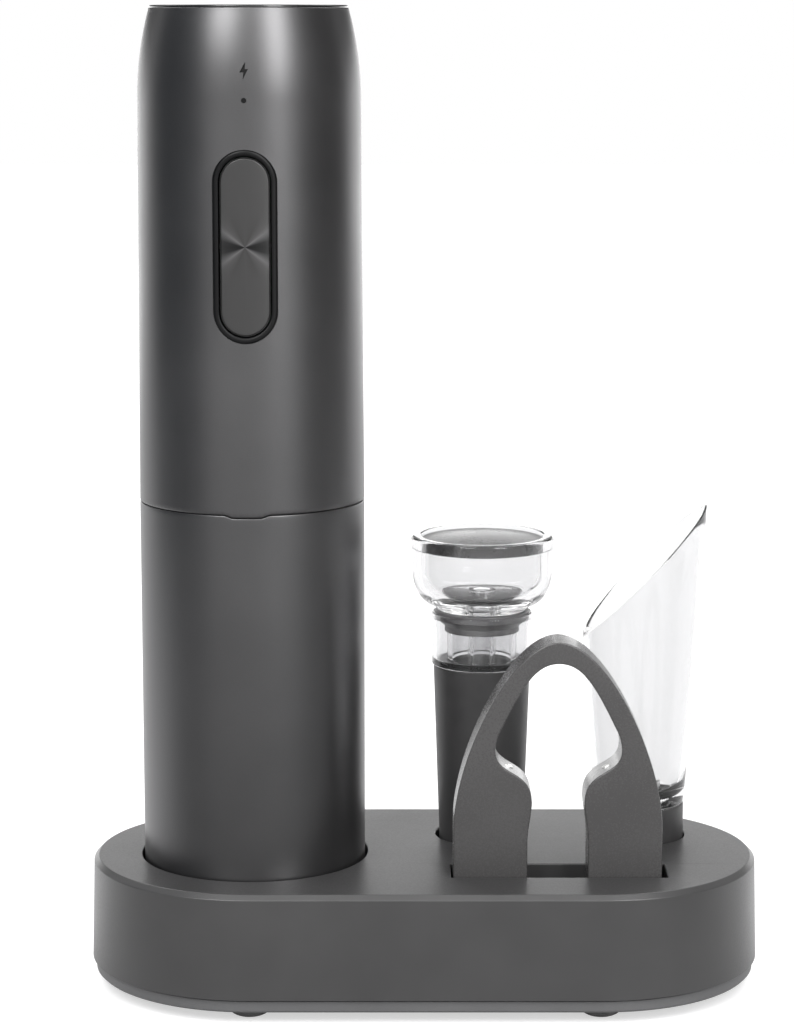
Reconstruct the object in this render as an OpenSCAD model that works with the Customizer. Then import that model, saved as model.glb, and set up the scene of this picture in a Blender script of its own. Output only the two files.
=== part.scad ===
// Cordless electric wine opener on its stand, with vacuum stopper, pourer and foil cutter.
// Millimetres. +Z is up, -Y is the front. The origin is on the ground under the middle of the stand.

/* [Stand] */
// Length of the stand along its top edge
base_l = 150; // [140:1:170]
// Depth of the stand along its top edge
base_w = 73; // [70:1:80]
// Height of the shell that forms the top and the side wall
shell_h = 23.8; // [21:0.2:30]
// How far the wall leans out from the top edge to the bottom edge
wall_draft = 0.6; // [0:0.1:1.5]
// Wall thickness of the shell
shell_wall = 2.4; // [1.8:0.1:3]
// Thickness of the top face
deck_t = 3; // [2:0.1:4]
// Bevel along the top edge
edge_bevel = 1.1; // [0.4:0.1:2]
// Visible height of the bottom plate
plate_h = 2.6; // [2:0.1:4]
// How far the bottom plate is set in from the shell
plate_inset = 0.8; // [0.3:0.1:2]
// Height of the lip that centres the plate in the shell
lip_h = 2.6; // [1.5:0.1:4]
// Height of the feet below the bottom plate
foot_h = 2.8; // [1.5:0.1:4]
// Diameter of a foot
foot_d = 10; // [7:0.5:12]
// Half of the distance between the front feet and the back feet
foot_y = 29; // [24:0.5:30]
// Thread diameter of the screws that hold the bottom plate
base_screw_d = 2.5; // [2:0.1:3]
// Depth of the opener's well
opener_well = 20; // [14:0.5:21]
// Depth of the two small wells
small_well = 15; // [10:0.5:16]
// Diameter of the two small wells
small_well_d = 21.2; // [21:0.1:22]
// Depth of the foil cutter's slot
slot_depth = 11; // [8:0.5:14]
// Wall thickness of the wells and of the slot
well_wall = 2; // [1.5:0.1:2.5]

/* [Opener body] */
// Outer diameter at the seam and of the whole lower sleeve
body_d = 50; // [49:0.5:52]
// Diameter where the shoulder starts to curve in
neck_d = 48.9; // [48:0.1:49]
// Diameter of the flat top
top_d = 43.5; // [42:0.1:45]
// Length of the lower sleeve
sleeve_l = 101.2; // [99:0.2:108]
// Length of the upper housing without its cap
housing_l = 107.9; // [107:0.1:114]
// Height of the curved shoulder
shoulder_h = 19.8; // [15:0.2:22]
// Visible thickness of the top cap
cap_t = 0.6; // [0.4:0.1:2]
// Wall thickness of the lower sleeve
sleeve_wall = 1.8; // [1.4:0.1:2]
// Wall thickness of the upper housing
housing_wall = 2.7; // [2.2:0.1:2.8]
// Gap around the sleeve in its well
well_gap = 0.6; // [0.4:0.1:1]
// Bevel on both sides of the seam
seam_bevel = 0.25; // [0.1:0.05:0.5]
// Width of the locating tab at the front of the seam
tab_w = 8; // [5:0.5:12]
// Height of the locating tab
tab_h = 0.6; // [0.4:0.1:1.5]
// Length of the spigot that plugs into the sleeve
spigot_l = 14; // [10:0.5:15]

/* [Button and lamp] */
// Height of the button's middle above the seam
button_z = 57.6; // [56:0.1:60]
// Width of the ring around the button
bezel_w = 13.7; // [12:0.1:15]
// Length of the ring around the button
bezel_l = 41; // [38:0.5:42]
// Thickness of the ring
bezel_t = 1.25; // [1:0.05:1.6]
// How deep the button's face lies below the housing
button_recess = 0.55; // [0.3:0.05:1]
// Thickness of the metal plate on the button
trim_t = 0.5; // [0.3:0.05:0.8]
// Rocking angle of the button to each side
rock_angle = 2.5; // [1:0.1:3]
// Diameter of the button's pivot pins
pivot_d = 2; // [1.5:0.1:2.5]
// Height of the lamp above the seam
lamp_z = 88.5; // [87:0.1:90]
// Diameter of the lamp's window
lamp_d = 1.1; // [0.8:0.1:2]
// Height of the charging mark's lower end above the seam
mark_z = 92.8; // [92:0.1:96]
// Height of the charging mark
mark_h = 3.8; // [3:0.1:5]

/* [Bottle guide and worm] */
// Bore for the bottle's neck
neck_bore = 31; // [29:0.5:32]
// Depth of the bottle's neck in the guide
neck_depth = 36; // [30:0.5:38]
// Bore of the tube that the cork climbs
cork_bore = 25.6; // [24:0.1:27]
// Wall thickness of the guide
guide_wall = 1.8; // [1.2:0.1:2]
// Distance of the worm's centre line from the axis
worm_r = 3.3; // [3:0.1:3.8]
// Wire diameter of the worm
wire_d = 2.6; // [2:0.1:3]
// Rise of one turn of the worm
worm_pitch = 9.6; // [8:0.1:11]
// Length of the worm below its hub
worm_l = 52; // [45:0.5:54]
// Diameter of the hub that clamps the worm
hub_d = 14; // [11:0.5:16]
// Diameter of the output shaft
shaft_d = 6; // [5:0.1:6.4]

/* [Gearbox and motor] */
// Module of all gears
gear_m = 0.5; // [0.45:0.01:0.5]
// Play between two teeth, measured on the pitch circle
gear_play = 0.08; // [0.05:0.01:0.1]
// Width of the planet gears in both stages
planet_w = 4.9; // [4:0.1:5]
// Outer diameter of the gearbox
box_d = 32; // [31:0.5:32]
// Thickness of the carriers
carrier_t = 2.2; // [1.8:0.1:2.4]
// Axial play between neighbouring parts of the gearbox
axial_gap = 0.3; // [0.25:0.05:0.4]
// Diameter of the pins of the planet gears
planet_pin_d = 2.4; // [2:0.1:2.6]
// Thickness of the plate between gearbox and motor
plate_t = 1.6; // [1.2:0.1:2]
// Diameter of the motor
motor_d = 24.4; // [23:0.1:25]
// Length of the motor without its end bell
motor_l = 27.4; // [25:0.1:28]
// Thickness of the motor's end bell
bell_t = 3; // [2:0.1:3.2]
// Diameter of the motor's shaft
motor_shaft_d = 2.3; // [2:0.1:2.4]

/* [Battery and boards] */
// Diameter of the battery cell
cell_d = 14; // [13:0.1:14.2]
// Room between the battery cell and the housing's upper end
cell_room = 4; // [3.6:0.1:8]
// Thickness of the circuit boards
board_t = 1.4; // [1:0.1:1.6]
// Distance of the button's circuit board from the axis
switch_board_y = 15.6; // [15.4:0.1:15.8]
// Distance of the charging board from the axis
charge_board_y = 13.4; // [12:0.1:14]
// Width of the charging socket
usb_w = 8.9; // [8.8:0.1:9]
// Height of the charging socket
usb_h = 3.2; // [3.1:0.1:3.3]

/* [Vacuum stopper] */
// Distance of the stopper inside the centre of the stand's right end
stopper_in = 25.2; // [23.5:0.1:26]
// Distance of both small wells behind the middle line
back_y = 14.5; // [14:0.1:16]
// Diameter of the plug where it enters the stand
plug_d = 19.3; // [18:0.1:20]
// Diameter of the plug at its upper end
plug_top_d = 22.2; // [20:0.1:23]
// Height of the plug above the stand
plug_h = 40.4; // [36:0.2:42]
// Diameter of the clear barrel
barrel_d = 23; // [22:0.1:23.4]
// Height of the clear barrel above the plug
barrel_h = 10.8; // [9:0.1:14]
// Bore of the pump's cylinder
pump_bore = 13.8; // [12:0.1:14]
// Diameter of the knob's rim
knob_d = 32.8; // [30:0.1:35]
// Height of the knob
knob_h = 17.2; // [14:0.1:20]
// Diameter of the knob's foot
knob_foot_d = 20.4; // [18:0.1:23]
// Wall thickness of the knob
knob_wall = 1.7; // [1.2:0.1:2]
// Diameter of the disc in the knob's top
disc_d = 27.6; // [25:0.1:28]
// Diameter of the pump rod
rod_d = 6.4; // [5:0.1:7]
// Stroke of the pump
stroke = 30; // [24:0.5:36]

/* [Pourer] */
// Distance of the pourer outside the centre of the stand's right end
pourer_out = 11.4; // [11.3:0.1:13]
// Diameter of the pourer's collar
collar_d = 20.6; // [19:0.1:21]
// Height of the collar above the stand
collar_h = 7.8; // [5:0.1:10]
// Diameter of the spout's mouth
mouth_d = 29.2; // [26:0.1:30]
// Height of the spout's tip above the stand
tip_h = 77.4; // [70:0.2:80]
// Height of the lowest point of the slanting mouth above the stand
lip_low_h = 47.6; // [44:0.2:52]
// Wall thickness of the spout
spout_wall = 1.3; // [1:0.1:2]
// Bore of the pouring channel
channel_d = 10; // [8:0.1:11]
// Outer diameter of the air tube
air_tube_d = 3.2; // [2.6:0.1:3.6]

/* [Foil cutter] */
// Distance of the cutter inside the centre of the stand's right end
cutter_in = 9.3; // [8.5:0.1:10.5]
// Distance of the cutter's middle plane in front of the middle line
cutter_y = 16.9; // [16:0.1:18]
// Width of the cutter across its legs
cutter_w = 46; // [44:0.2:47]
// Thickness of the cutter
cutter_t = 10; // [8:0.1:11]
// Height of the cutter above the stand
cutter_h = 52.7; // [50:0.1:55]
// Thickness of the arch at its crown
crown_t = 4.8; // [4:0.1:5]
// Gap between the two legs
leg_gap = 13.4; // [12:0.1:15]
// Gap between the two nibs
nib_gap = 11.5; // [10:0.1:12]
// Widest part of the opening for the bottle's neck
eye_w = 26.7; // [25:0.1:28]
// Diameter of the cutting wheels
wheel_d = 3.6; // [3.4:0.1:4]
// Thickness of the cutting wheels
wheel_t = 0.5; // [0.4:0.05:0.6]
// Diameter of the pins of the cutting wheels
wheel_pin_d = 1.2; // [1:0.1:1.4]

/* [Clearances] */
// Radial clearance of a pin or shaft that turns in its bore
run_gap = 0.05; // [0.02:0.01:0.08]
// Gap between parts that slide past each other by hand
slide_gap = 0.25; // [0.15:0.05:0.35]
// Gap around a piece that is set into a cut-out
fit_gap = 0.05; // [0.02:0.01:0.1]

/* [Hidden] */
$fn = 96;

// Heights of the stand
shell_z = foot_h + plate_h;
deck_z = shell_z + shell_h;
small_seat_z = deck_z - small_well;
slot_seat_z = deck_z - slot_depth;

// Plan of the stand: two half circles and the straight part between them
end_x = (base_l - base_w) / 2;
rim_r = base_w / 2;
foot_line_r = rim_r + wall_draft;
opener_x = -end_x;
stopper_x = end_x - stopper_in;
pourer_x = end_x + pourer_out;
cutter_x = end_x - cutter_in;
opener_hole_d = body_d + 2 * well_gap;

// Screw posts of the stand, between the opener's well and the side wall
post_in_r = opener_hole_d / 2 + well_wall;
post_out_r = rim_r - shell_wall;
post_ring = (post_in_r + post_out_r) / 2;
post_d = post_out_r - post_in_r + 0.6;
post_angles = [135, 225];
post_angles_right = [-30, 30];
POSTS = concat(
    [for (a = post_angles) [-end_x + post_ring * cos(a), post_ring * sin(a)]],
    [for (a = post_angles_right) [end_x + post_ring * cos(a), post_ring * sin(a)]]);
base_screw_l = 11;
head_sink = 0.3;
head_h = 1.4;

// Slot for the foil cutter
slot_gap_x = 0.9;
slot_shift = 0.45;
slot_x = cutter_x + slot_shift;
slot_gap_y = 0.4;
slot_l = cutter_w + 2 * slot_gap_x;
slot_w = cutter_t + 2 * slot_gap_y;

// Heights of the opener
seat_z = deck_z - opener_well;
seam_z = seat_z + sleeve_l;
housing_top_z = seam_z + housing_l;
shoulder_z = housing_top_z - shoulder_h;
floor_z = seam_z - 2;
floor_top_z = seam_z + 2;

// Radii of the opener
body_r = body_d / 2;
sleeve_in_r = body_r - sleeve_wall;
spigot_r = sleeve_in_r - slide_gap;
spigot_wall = 1.75;
ring_section = 1.1;
groove_r = sleeve_in_r - 2 * fit_gap - ring_section;
housing_in_r = body_r - housing_wall;
floor_r = housing_in_r - 2 * fit_gap;
shoulder_drop = (neck_d - top_d) / 2;
shoulder_r = (pow(shoulder_h, 2) + pow(shoulder_drop, 2)) / (2 * shoulder_drop);
shoulder_steps = 8;

// Bottle guide
guide_z = seat_z + 0.6;
guide_stop_z = seat_z + neck_depth;
guide_top_z = seam_z - spigot_l - 0.8;
neck_r = neck_bore / 2;
cork_r = cork_bore / 2;
flange_t = 2.2;
rib_count = 6;
rib_t = 0.9;
rib_h = 0.8;

// Gear train, from the chassis floor upwards
sun_teeth = 12;
planet_teeth = 21;
planet_r = gear_m * planet_teeth / 2;
sun_r = gear_m * sun_teeth / 2;
ring_teeth = sun_teeth + 2 * planet_teeth;
planet_ring = sun_r + planet_r;
tooth_tip = 0.85 * gear_m;
tooth_root = 1.2 * gear_m;
pressure_angle = 20;
bush_d = shaft_d + 4;
bush_flange_t = 0.9;
out_plate_z = floor_top_z + bush_flange_t + axial_gap;
slow_z = out_plate_z + carrier_t + axial_gap;
fast_plate_z = slow_z + planet_w + axial_gap;
fast_z = fast_plate_z + carrier_t + axial_gap;
box_top_z = fast_z + planet_w + 2 * axial_gap + head_h;
motor_z = box_top_z + plate_t;
bell_z = motor_z + motor_l;
carrier_d = gear_m * ring_teeth - 1.8;
ear_ring = box_d / 2 + 1.6;
ear_d = 5.2;
ear_angles = [90, 210, 330];
box_screw_d = 2.4;
housing_post_ring = box_d / 2 + 2.9;
housing_post_d = 5;
housing_post_h = 9;
housing_post_angles = [30, 150, 270];
housing_screw_d = 2;
housing_screw_l = housing_post_h + 1;
motor_screw_ring = 8;
motor_screw_d = 2.4;
motor_boss_d = 10;
motor_wall = 1;
magnet_t = 2.2;
rotor_gap = 0.6;
armature_in = 4.4;
terminal_x = 6;
terminal_y = 6;
terminal_t = 0.5;
terminal_h = 3;
lead_r = 0.5;

// Worm and hub
hub_top_z = floor_z - axial_gap;
hub_l = 10;
hub_z = hub_top_z - hub_l;
shank_l = 5;
worm_steps = 100;
worm_sides = 10;
worm_tip_d = 0.24;
worm_tip_l = 10;

// Inner frame, battery and boards
frame_ring_h = 4;
post_x = motor_d / 2 + 1;
post_t = 2.8;
post_w = 12;
cell_z = bell_z + bell_t + 1.6;
cell_l = housing_top_z - cell_room - cell_z;
frame_rib_t = 2;
frame_top_z = cell_z + cell_l - 0.5;
low_rib_in = 10.5;
high_rib_in = 15.5;
board_over_rib = 7;
low_rib_z = cell_z + low_rib_in;
high_rib_z = cell_z + cell_l - high_rib_in;
switch_board_back_y = switch_board_y - board_t;
switch_board_w = 14;
charge_board_front_y = charge_board_y - board_t;
charge_board_z = low_rib_z - 4;
charge_board_top_z = high_rib_z + board_over_rib;
charge_board_w = 15;
usb_z = (low_rib_z + high_rib_z) / 2 + 1;
usb_wall = 0.35;
usb_tongue_w = 6.4;
usb_tongue_t = 0.7;
port_gap = 0.3;
usb_tip_y = housing_in_r + 0.8;

// Button
btn_z = seam_z + button_z;
key_w = bezel_w - 2 * bezel_t - 2 * slide_gap;
key_l = bezel_l - 2 * bezel_t - 2 * slide_gap;
pivot_y = body_r - 4.1;
bezel_back_y = pivot_y - 1.6;
key_back_y = pivot_y + 0.7;
switch_offset = 13;
switch_board_z = btn_z - switch_offset - 9;
switch_size = 6;
switch_h = 3.5;
plunger_y = switch_board_y + switch_h + 0.55;
key_post_y = plunger_y + switch_offset * sin(rock_angle) + 0.1;

// Lamp and charging mark
lamp_axis_z = seam_z + lamp_z;
mark_axis_z = seam_z + mark_z;
switch_board_top_z = lamp_axis_z + 5.1;
mark_depth = 0.25;

// Vacuum stopper, from the bottom of its well upwards
plug_top_z = deck_z + plug_h;
plug_taper = (plug_top_d - plug_d) / 2 / plug_h;
cylinder_wall = 1.1;
cylinder_r = pump_bore / 2 + cylinder_wall;
barrel_top_z = plug_top_z + barrel_h;
barrel_wall = 1.1;
barrel_foot_t = 1.2;
gland_flange_h = 2;
barrel_lip_t = 0.6;
barrel_lip_h = 1.4;
gland_neck_h = 2;
gland_skirt_h = 1;
gland_skirt_t = 0.5;
gland_cone_h = 1.6;
tube_top_z = barrel_top_z - gland_neck_h;
piston_h = 6;
rod_wall = 1.2;
rod_end_t = 2;
piston_z = tube_top_z - fit_gap - stroke - piston_h;
cylinder_floor_t = 1.5;
cylinder_z = piston_z - 2.5 - cylinder_floor_t;
knob_z = barrel_top_z + gland_flange_h;
knob_top_z = knob_z + knob_h;
knob_floor_t = 3.5;
knob_curve_h = 8;
knob_side_z = knob_z + 1.2 + knob_curve_h;
disc_z = knob_top_z - 3;
disc_t = 2.2;
valve_stem_d = 2.5;
valve_d = 7.2;

// Pourer
collar_top_z = deck_z + collar_h;
collar_body_d = collar_d - 3.4;
channel_wall = 1.3;
mouth_angle = atan2(tip_h - lip_low_h, mouth_d - 1.2);
funnel_h = 4;
funnel_foot_h = 1.6;
spout_steps = 8;

// Foil cutter: heights above the stand of the points that steer its outline
leg_top_h = 10.8;
arm_bow_h = 15.9;
crown_bow = 10.3;
crown_in = 4.7;
eye_h = 31.7;
eye_side_in = 4.9;
eye_side_h = 10.1;
shoulder_out = 3;
shoulder_low = 9.9;
nib_h = 16.7;
nib_rise = 9;
nib_bow = 1.9;
nib_foot_bow = 6;
nib_fall = 8.7;
outline_steps = 12;
wheel_poke = 0.4;
pocket_gap = 0.2;
wheel_pin_l = 6;

// ---------------------------------------------------------------- shared shapes

// Upright outline with round ends, drawn in the XY plane with its length along Y
module long_round(w, l) {
    for (end = [-1, 1]) translate([0, end * (l - w) / 2]) circle(d = w);
    square([w, l - w], center = true);
}

// Bar with round ends that points to the front, between two distances from the axis
module front_bar(w, l, y_in, y_out) {
    translate([0, -y_in, 0]) rotate([90, 0, 0]) linear_extrude(y_out - y_in) long_round(w, l);
}

// Solid over the stand's oblong plan, from one half of its section
module oblong(section) {
    for (side = [-1, 1]) translate([side * end_x, 0, 0]) rotate_extrude() polygon(section);
    translate([-end_x, 0, 0]) rotate([90, 0, 90]) linear_extrude(2 * end_x) {
        polygon(section);
        mirror([1, 0]) polygon(section);
    }
}

// Block with its middle on the Z axis
module post(size_x, size_y, z0, z1) {
    translate([-size_x / 2, -size_y / 2, z0]) cube([size_x, size_y, z1 - z0]);
}

// Copies its children around the axis
module around(angles, r) {
    for (a = angles) rotate([0, 0, a]) translate([r, 0, 0]) children();
}

// Pan-head screw that points up, with a cross recess; its head lies below z = 0
module screw(d, l, head_d) {
    difference() {
        union() {
            translate([0, 0, -head_h]) cylinder(h = head_h, d = head_d);
            cylinder(h = l, d = d);
        }
        for (a = [0, 90]) rotate([0, 0, a])
            translate([-head_d / 4, -0.25, -head_h - 1]) cube([head_d / 2, 0.5, 1.8]);
    }
}

function reversed(list) = [for (i = [len(list) - 1:-1:0]) list[i]];
function flipped(list) = [for (p = list) [-p[0], p[1]]];
function unit(v) = v / norm(v);

// Cubic curve from a to d, steered by b and c
function curve_at(p, t) = pow(1 - t, 3) * p[0] + 3 * t * pow(1 - t, 2) * p[1] + 3 * t * t * (1 - t) * p[2]
    + pow(t, 3) * p[3];
function curve(p, steps) = [for (i = [0:steps]) curve_at(p, i / steps)];

// Quarter ellipse from [r0, z0], where it is flat, to [r1, z1], where it is upright
function quarter(r0, z0, r1, z1, steps) =
    [for (i = [0:steps]) [r0 + (r1 - r0) * sin(90 * i / steps), z1 - (z1 - z0) * cos(90 * i / steps)]];

// ---------------------------------------------------------------- stand

module base_shell_outer() {
    oblong([[0, shell_z], [foot_line_r, shell_z], [rim_r, deck_z - edge_bevel],
        [rim_r - edge_bevel, deck_z], [0, deck_z]]);
}

module base_shell_room() {
    oblong([[0, shell_z - 1], [foot_line_r - shell_wall, shell_z - 1], [rim_r - shell_wall, deck_z - deck_t],
        [0, deck_z - deck_t]]);
}

module base_shell() color([0.33, 0.33, 0.35]) difference() {
    union() {
        difference() {
            base_shell_outer();
            base_shell_room();
        }
        translate([opener_x, 0, seat_z - well_wall])
            cylinder(h = deck_z - seat_z, d = opener_hole_d + 2 * well_wall);
        for (x = [stopper_x, pourer_x]) translate([x, back_y, small_seat_z - well_wall])
            cylinder(h = small_well, d = small_well_d + 2 * well_wall);
        translate([slot_x, -cutter_y, 0])
            post(slot_l + 2 * well_wall, slot_w + 2 * well_wall, slot_seat_z - well_wall, deck_z - 1);
        for (p = POSTS) translate([p[0], p[1], shell_z]) cylinder(h = shell_h - 1.5, d = post_d);
    }
    translate([opener_x, 0, seat_z]) cylinder(h = opener_well + 1, d = opener_hole_d);
    for (x = [stopper_x, pourer_x]) translate([x, back_y, small_seat_z])
        cylinder(h = small_well + 1, d = small_well_d);
    translate([slot_x, -cutter_y, 0]) post(slot_l, slot_w, slot_seat_z, deck_z + 1);
    for (p = POSTS) translate([p[0], p[1], shell_z - 1]) cylinder(h = base_screw_l, d = base_screw_d);
}

module base_bottom_plate() color([0.4, 0.4, 0.42]) difference() {
    plate_r = foot_line_r - plate_inset;
    lip_r = foot_line_r - shell_wall - slide_gap - wall_draft * lip_h / shell_h;
    union() {
        oblong([[0, foot_h], [plate_r - 0.5, foot_h], [plate_r, foot_h + 0.5], [plate_r, shell_z],
            [0, shell_z]]);
        difference() {
            oblong([[0, shell_z - 0.5], [lip_r, shell_z - 0.5], [lip_r, shell_z + lip_h],
                [0, shell_z + lip_h]]);
            oblong([[0, shell_z], [lip_r - 1.6, shell_z], [lip_r - 1.6, shell_z + lip_h + 1],
                [0, shell_z + lip_h + 1]]);
            for (p = POSTS) translate([p[0], p[1], shell_z]) cylinder(h = lip_h + 1, d = post_d + 1);
        }
    }
    for (p = POSTS) translate([p[0], p[1], foot_h - 1]) {
        cylinder(h = plate_h + 2, d = base_screw_d + 0.6);
        cylinder(h = 1 + head_sink + head_h, d = 6);
    }
    for (x = [-end_x, end_x], y = [-foot_y, foot_y]) translate([x, y, foot_h - 1])
        cylinder(h = 1.8, d = foot_d + 2 * fit_gap);
}

module rubber_feet() color([0.1, 0.1, 0.1])
    for (x = [-end_x, end_x], y = [-foot_y, foot_y]) translate([x, y, 0])
        rotate_extrude() polygon(concat([[0, foot_h + 0.8]], [[0, 0]],
            quarter(foot_d / 2 - 1.6, 0, foot_d / 2, foot_h * 0.8, 5), [[foot_d / 2, foot_h + 0.8]]));

module base_screws() color([0.75, 0.75, 0.77])
    for (p = POSTS) translate([p[0], p[1], foot_h + head_sink + head_h])
        screw(base_screw_d, shell_z + base_screw_l - 2 - foot_h - head_sink - head_h, 5);

// ---------------------------------------------------------------- lower sleeve

// Places its children on the opener's axis
module at_opener() translate([opener_x, 0, 0]) children();

module lower_sleeve() color([0.34, 0.34, 0.36]) at_opener() difference() {
    rotate_extrude() polygon([[sleeve_in_r, seat_z], [body_r - 0.6, seat_z], [body_r, seat_z + 0.6],
        [body_r, seam_z - seam_bevel], [body_r - seam_bevel, seam_z], [sleeve_in_r, seam_z]]);
    translate([0, -body_r, 0])
        post(tab_w + 4 * fit_gap, 4 * sleeve_wall, seam_z - tab_h - 2 * fit_gap, seam_z + 1);
}

module neck_guide() color([0.12, 0.12, 0.13]) at_opener() {
    seat_r = sleeve_in_r - fit_gap;
    rotate_extrude() polygon([[neck_r + 1.6, guide_z], [seat_r, guide_z], [seat_r, guide_z + flange_t],
        [neck_r + guide_wall, guide_z + flange_t], [neck_r + guide_wall, guide_stop_z + guide_wall],
        [cork_r + guide_wall, guide_stop_z + guide_wall], [cork_r + guide_wall, guide_top_z - flange_t],
        [seat_r, guide_top_z - flange_t], [seat_r, guide_top_z], [cork_r, guide_top_z],
        [cork_r, guide_stop_z], [neck_r, guide_stop_z], [neck_r, guide_z + 3]]);
    around([for (i = [0:rib_count - 1]) i * 360 / rib_count], cork_r - rib_h)
        translate([0, -rib_t / 2, guide_stop_z]) cube([rib_h + 0.5, rib_t, guide_top_z - guide_stop_z]);
}

// ---------------------------------------------------------------- upper housing and button

function shoulder_at(z) = neck_d / 2 - shoulder_r + sqrt(pow(shoulder_r, 2) - pow(z - shoulder_z, 2));
function housing_at(z) = z > shoulder_z ? shoulder_at(z)
    : body_r - (body_d - neck_d) / 2 * (z - seam_z) / (shoulder_z - seam_z);
function shoulder(inset) = [for (i = [0:shoulder_steps])
    let (z = shoulder_z + shoulder_h * i / shoulder_steps) [shoulder_at(z) - inset, z]];

// The housing's outer form, filled, with its surface moved inwards
module housing_form(inset) {
    rotate_extrude()
        polygon(concat([[0, seam_z], [body_r - inset, seam_z]], shoulder(inset), [[0, housing_top_z]]));
}

module upper_housing() color([0.34, 0.34, 0.36]) at_opener() difference() {
    union() {
        rotate_extrude() polygon(concat([[body_r - seam_bevel, seam_z], [body_r, seam_z + seam_bevel]],
            shoulder(0), reversed(shoulder(housing_wall)), [[housing_in_r, seam_z]]));
        around(housing_post_angles, housing_post_ring) translate([0, 0, floor_top_z])
            cylinder(h = housing_post_h, d = housing_post_d);
        around(housing_post_angles, housing_post_ring)
            translate([0, -1, floor_top_z]) cube([housing_in_r + 0.4 - housing_post_ring, 2, housing_post_h]);
        intersection() {
            difference() {
                translate([0, 0, seam_z - tab_h]) cylinder(h = tab_h + 1, r = body_r - seam_bevel);
                translate([0, 0, seam_z - tab_h - 1]) cylinder(h = tab_h + 3, r = sleeve_in_r + fit_gap);
            }
            translate([0, -body_r, 0]) post(tab_w, 4 * sleeve_wall, seam_z - tab_h, seam_z + 1);
        }
    }
    around(housing_post_angles, housing_post_ring) translate([0, 0, floor_top_z - 1])
        cylinder(h = housing_post_h - 1, d = housing_screw_d);
    translate([0, 0, btn_z])
        front_bar(bezel_w + 2 * fit_gap, bezel_l + 2 * fit_gap, housing_in_r - 6, body_r + 1);
    translate([0, 0, lamp_axis_z]) rotate([90, 0, 0]) cylinder(h = body_r + 1, d = lamp_d + 2 * fit_gap);
    difference() {
        translate([0, 1 - body_r, mark_axis_z]) rotate([90, 0, 0]) linear_extrude(4) charge_mark();
        housing_form(mark_depth);
    }
    translate([0, 0, usb_z]) rotate([0, 0, 180])
        front_bar_flat(usb_w + 2 * port_gap, usb_h + 2 * port_gap, housing_in_r - 3, body_r + 1);
}

// Lying bar with round ends that points to the front
module front_bar_flat(w, h, y_in, y_out) {
    rotate([0, 90, 0]) front_bar(h, w, y_in, y_out);
}

// Lightning bolt, as on any charging lamp, with its lower end at the origin
module charge_mark() {
    scale(mark_h / 4)
        polygon([[-0.15, 0], [0.25, 1.75], [-0.25, 1.75], [-0.9, 1.6], [0.35, 4], [0.05, 2.3],
            [0.95, 2.35]]);
}

module top_cap() color([0.08, 0.08, 0.09]) at_opener() {
    rotate_extrude() polygon([[0, housing_top_z], [top_d / 2, housing_top_z],
        [top_d / 2, housing_top_z + cap_t / 2], [top_d / 2 - cap_t / 2, housing_top_z + cap_t],
        [0, housing_top_z + cap_t]]);
    difference() {
        translate([0, 0, housing_top_z - 2.4]) cylinder(h = 2.5, r = top_d / 2 - housing_wall - fit_gap);
        translate([0, 0, housing_top_z - 3]) cylinder(h = 3, r = top_d / 2 - housing_wall - 2);
    }
}

module button_bezel() color([0.03, 0.03, 0.03]) at_opener() difference() {
    intersection() {
        translate([0, 0, btn_z]) front_bar(bezel_w, bezel_l, bezel_back_y, body_r + 1);
        housing_form(0);
    }
    translate([0, 0, btn_z])
        front_bar(bezel_w - 2 * bezel_t, bezel_l - 2 * bezel_t, bezel_back_y - 1, body_r + 2);
    translate([-bezel_w, -pivot_y, btn_z]) rotate([0, 90, 0])
        cylinder(h = 2 * bezel_w, d = pivot_d + 2 * run_gap);
}

module button() color([0.22, 0.22, 0.23]) at_opener() {
    intersection() {
        translate([0, 0, btn_z]) front_bar(key_w, key_l, key_back_y, body_r);
        housing_form(button_recess + trim_t);
    }
    translate([-key_w / 2 + 0.4, -key_back_y - 0.5, btn_z - 1.6]) cube([key_w - 0.8, 1.5, 3.2]);
    translate([-key_w / 2 - slide_gap - 0.9, -pivot_y, btn_z]) rotate([0, 90, 0])
        cylinder(h = key_w + 2 * slide_gap + 1.8, d = pivot_d);
    for (side = [-1, 1]) translate([-1.5, -key_back_y - 0.5, btn_z + side * switch_offset - 1.5])
        cube([3, key_back_y + 0.5 - key_post_y, 3]);
}

module button_trim() color([0.42, 0.41, 0.41]) at_opener() difference() {
    intersection() {
        translate([0, 0, btn_z]) front_bar(key_w - 0.3, key_l - 0.3, key_back_y, body_r);
        housing_form(button_recess);
    }
    housing_form(button_recess + trim_t);
}

module lamp_window() color([0.05, 0.05, 0.05]) at_opener() translate([0, 0, lamp_axis_z]) rotate([90, 0, 0]) {
    flange_d = lamp_d + 1.4;
    flange_y = housing_at(lamp_axis_z + flange_d / 2) - housing_wall - fit_gap;
    translate([0, 0, switch_board_y + 1.6])
        cylinder(h = housing_at(lamp_axis_z) - switch_board_y - 1.6 - fit_gap, d = lamp_d);
    translate([0, 0, flange_y - 1.1]) cylinder(h = 1, d = flange_d);
}

// ---------------------------------------------------------------- boards, battery and inner frame

module switch_board() color([0.05, 0.3, 0.15]) at_opener() {
    translate([0, -(switch_board_y + switch_board_back_y) / 2, 0])
        post(switch_board_w, board_t, switch_board_z, switch_board_top_z);
    translate([0, -switch_board_y - 0.8, 0]) post(2, 1.6, lamp_axis_z - 1, lamp_axis_z + 1);
    translate([3, -switch_board_y - 0.6, 0]) post(4, 1.2, switch_board_z + 1, switch_board_z + 5);
}

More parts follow.
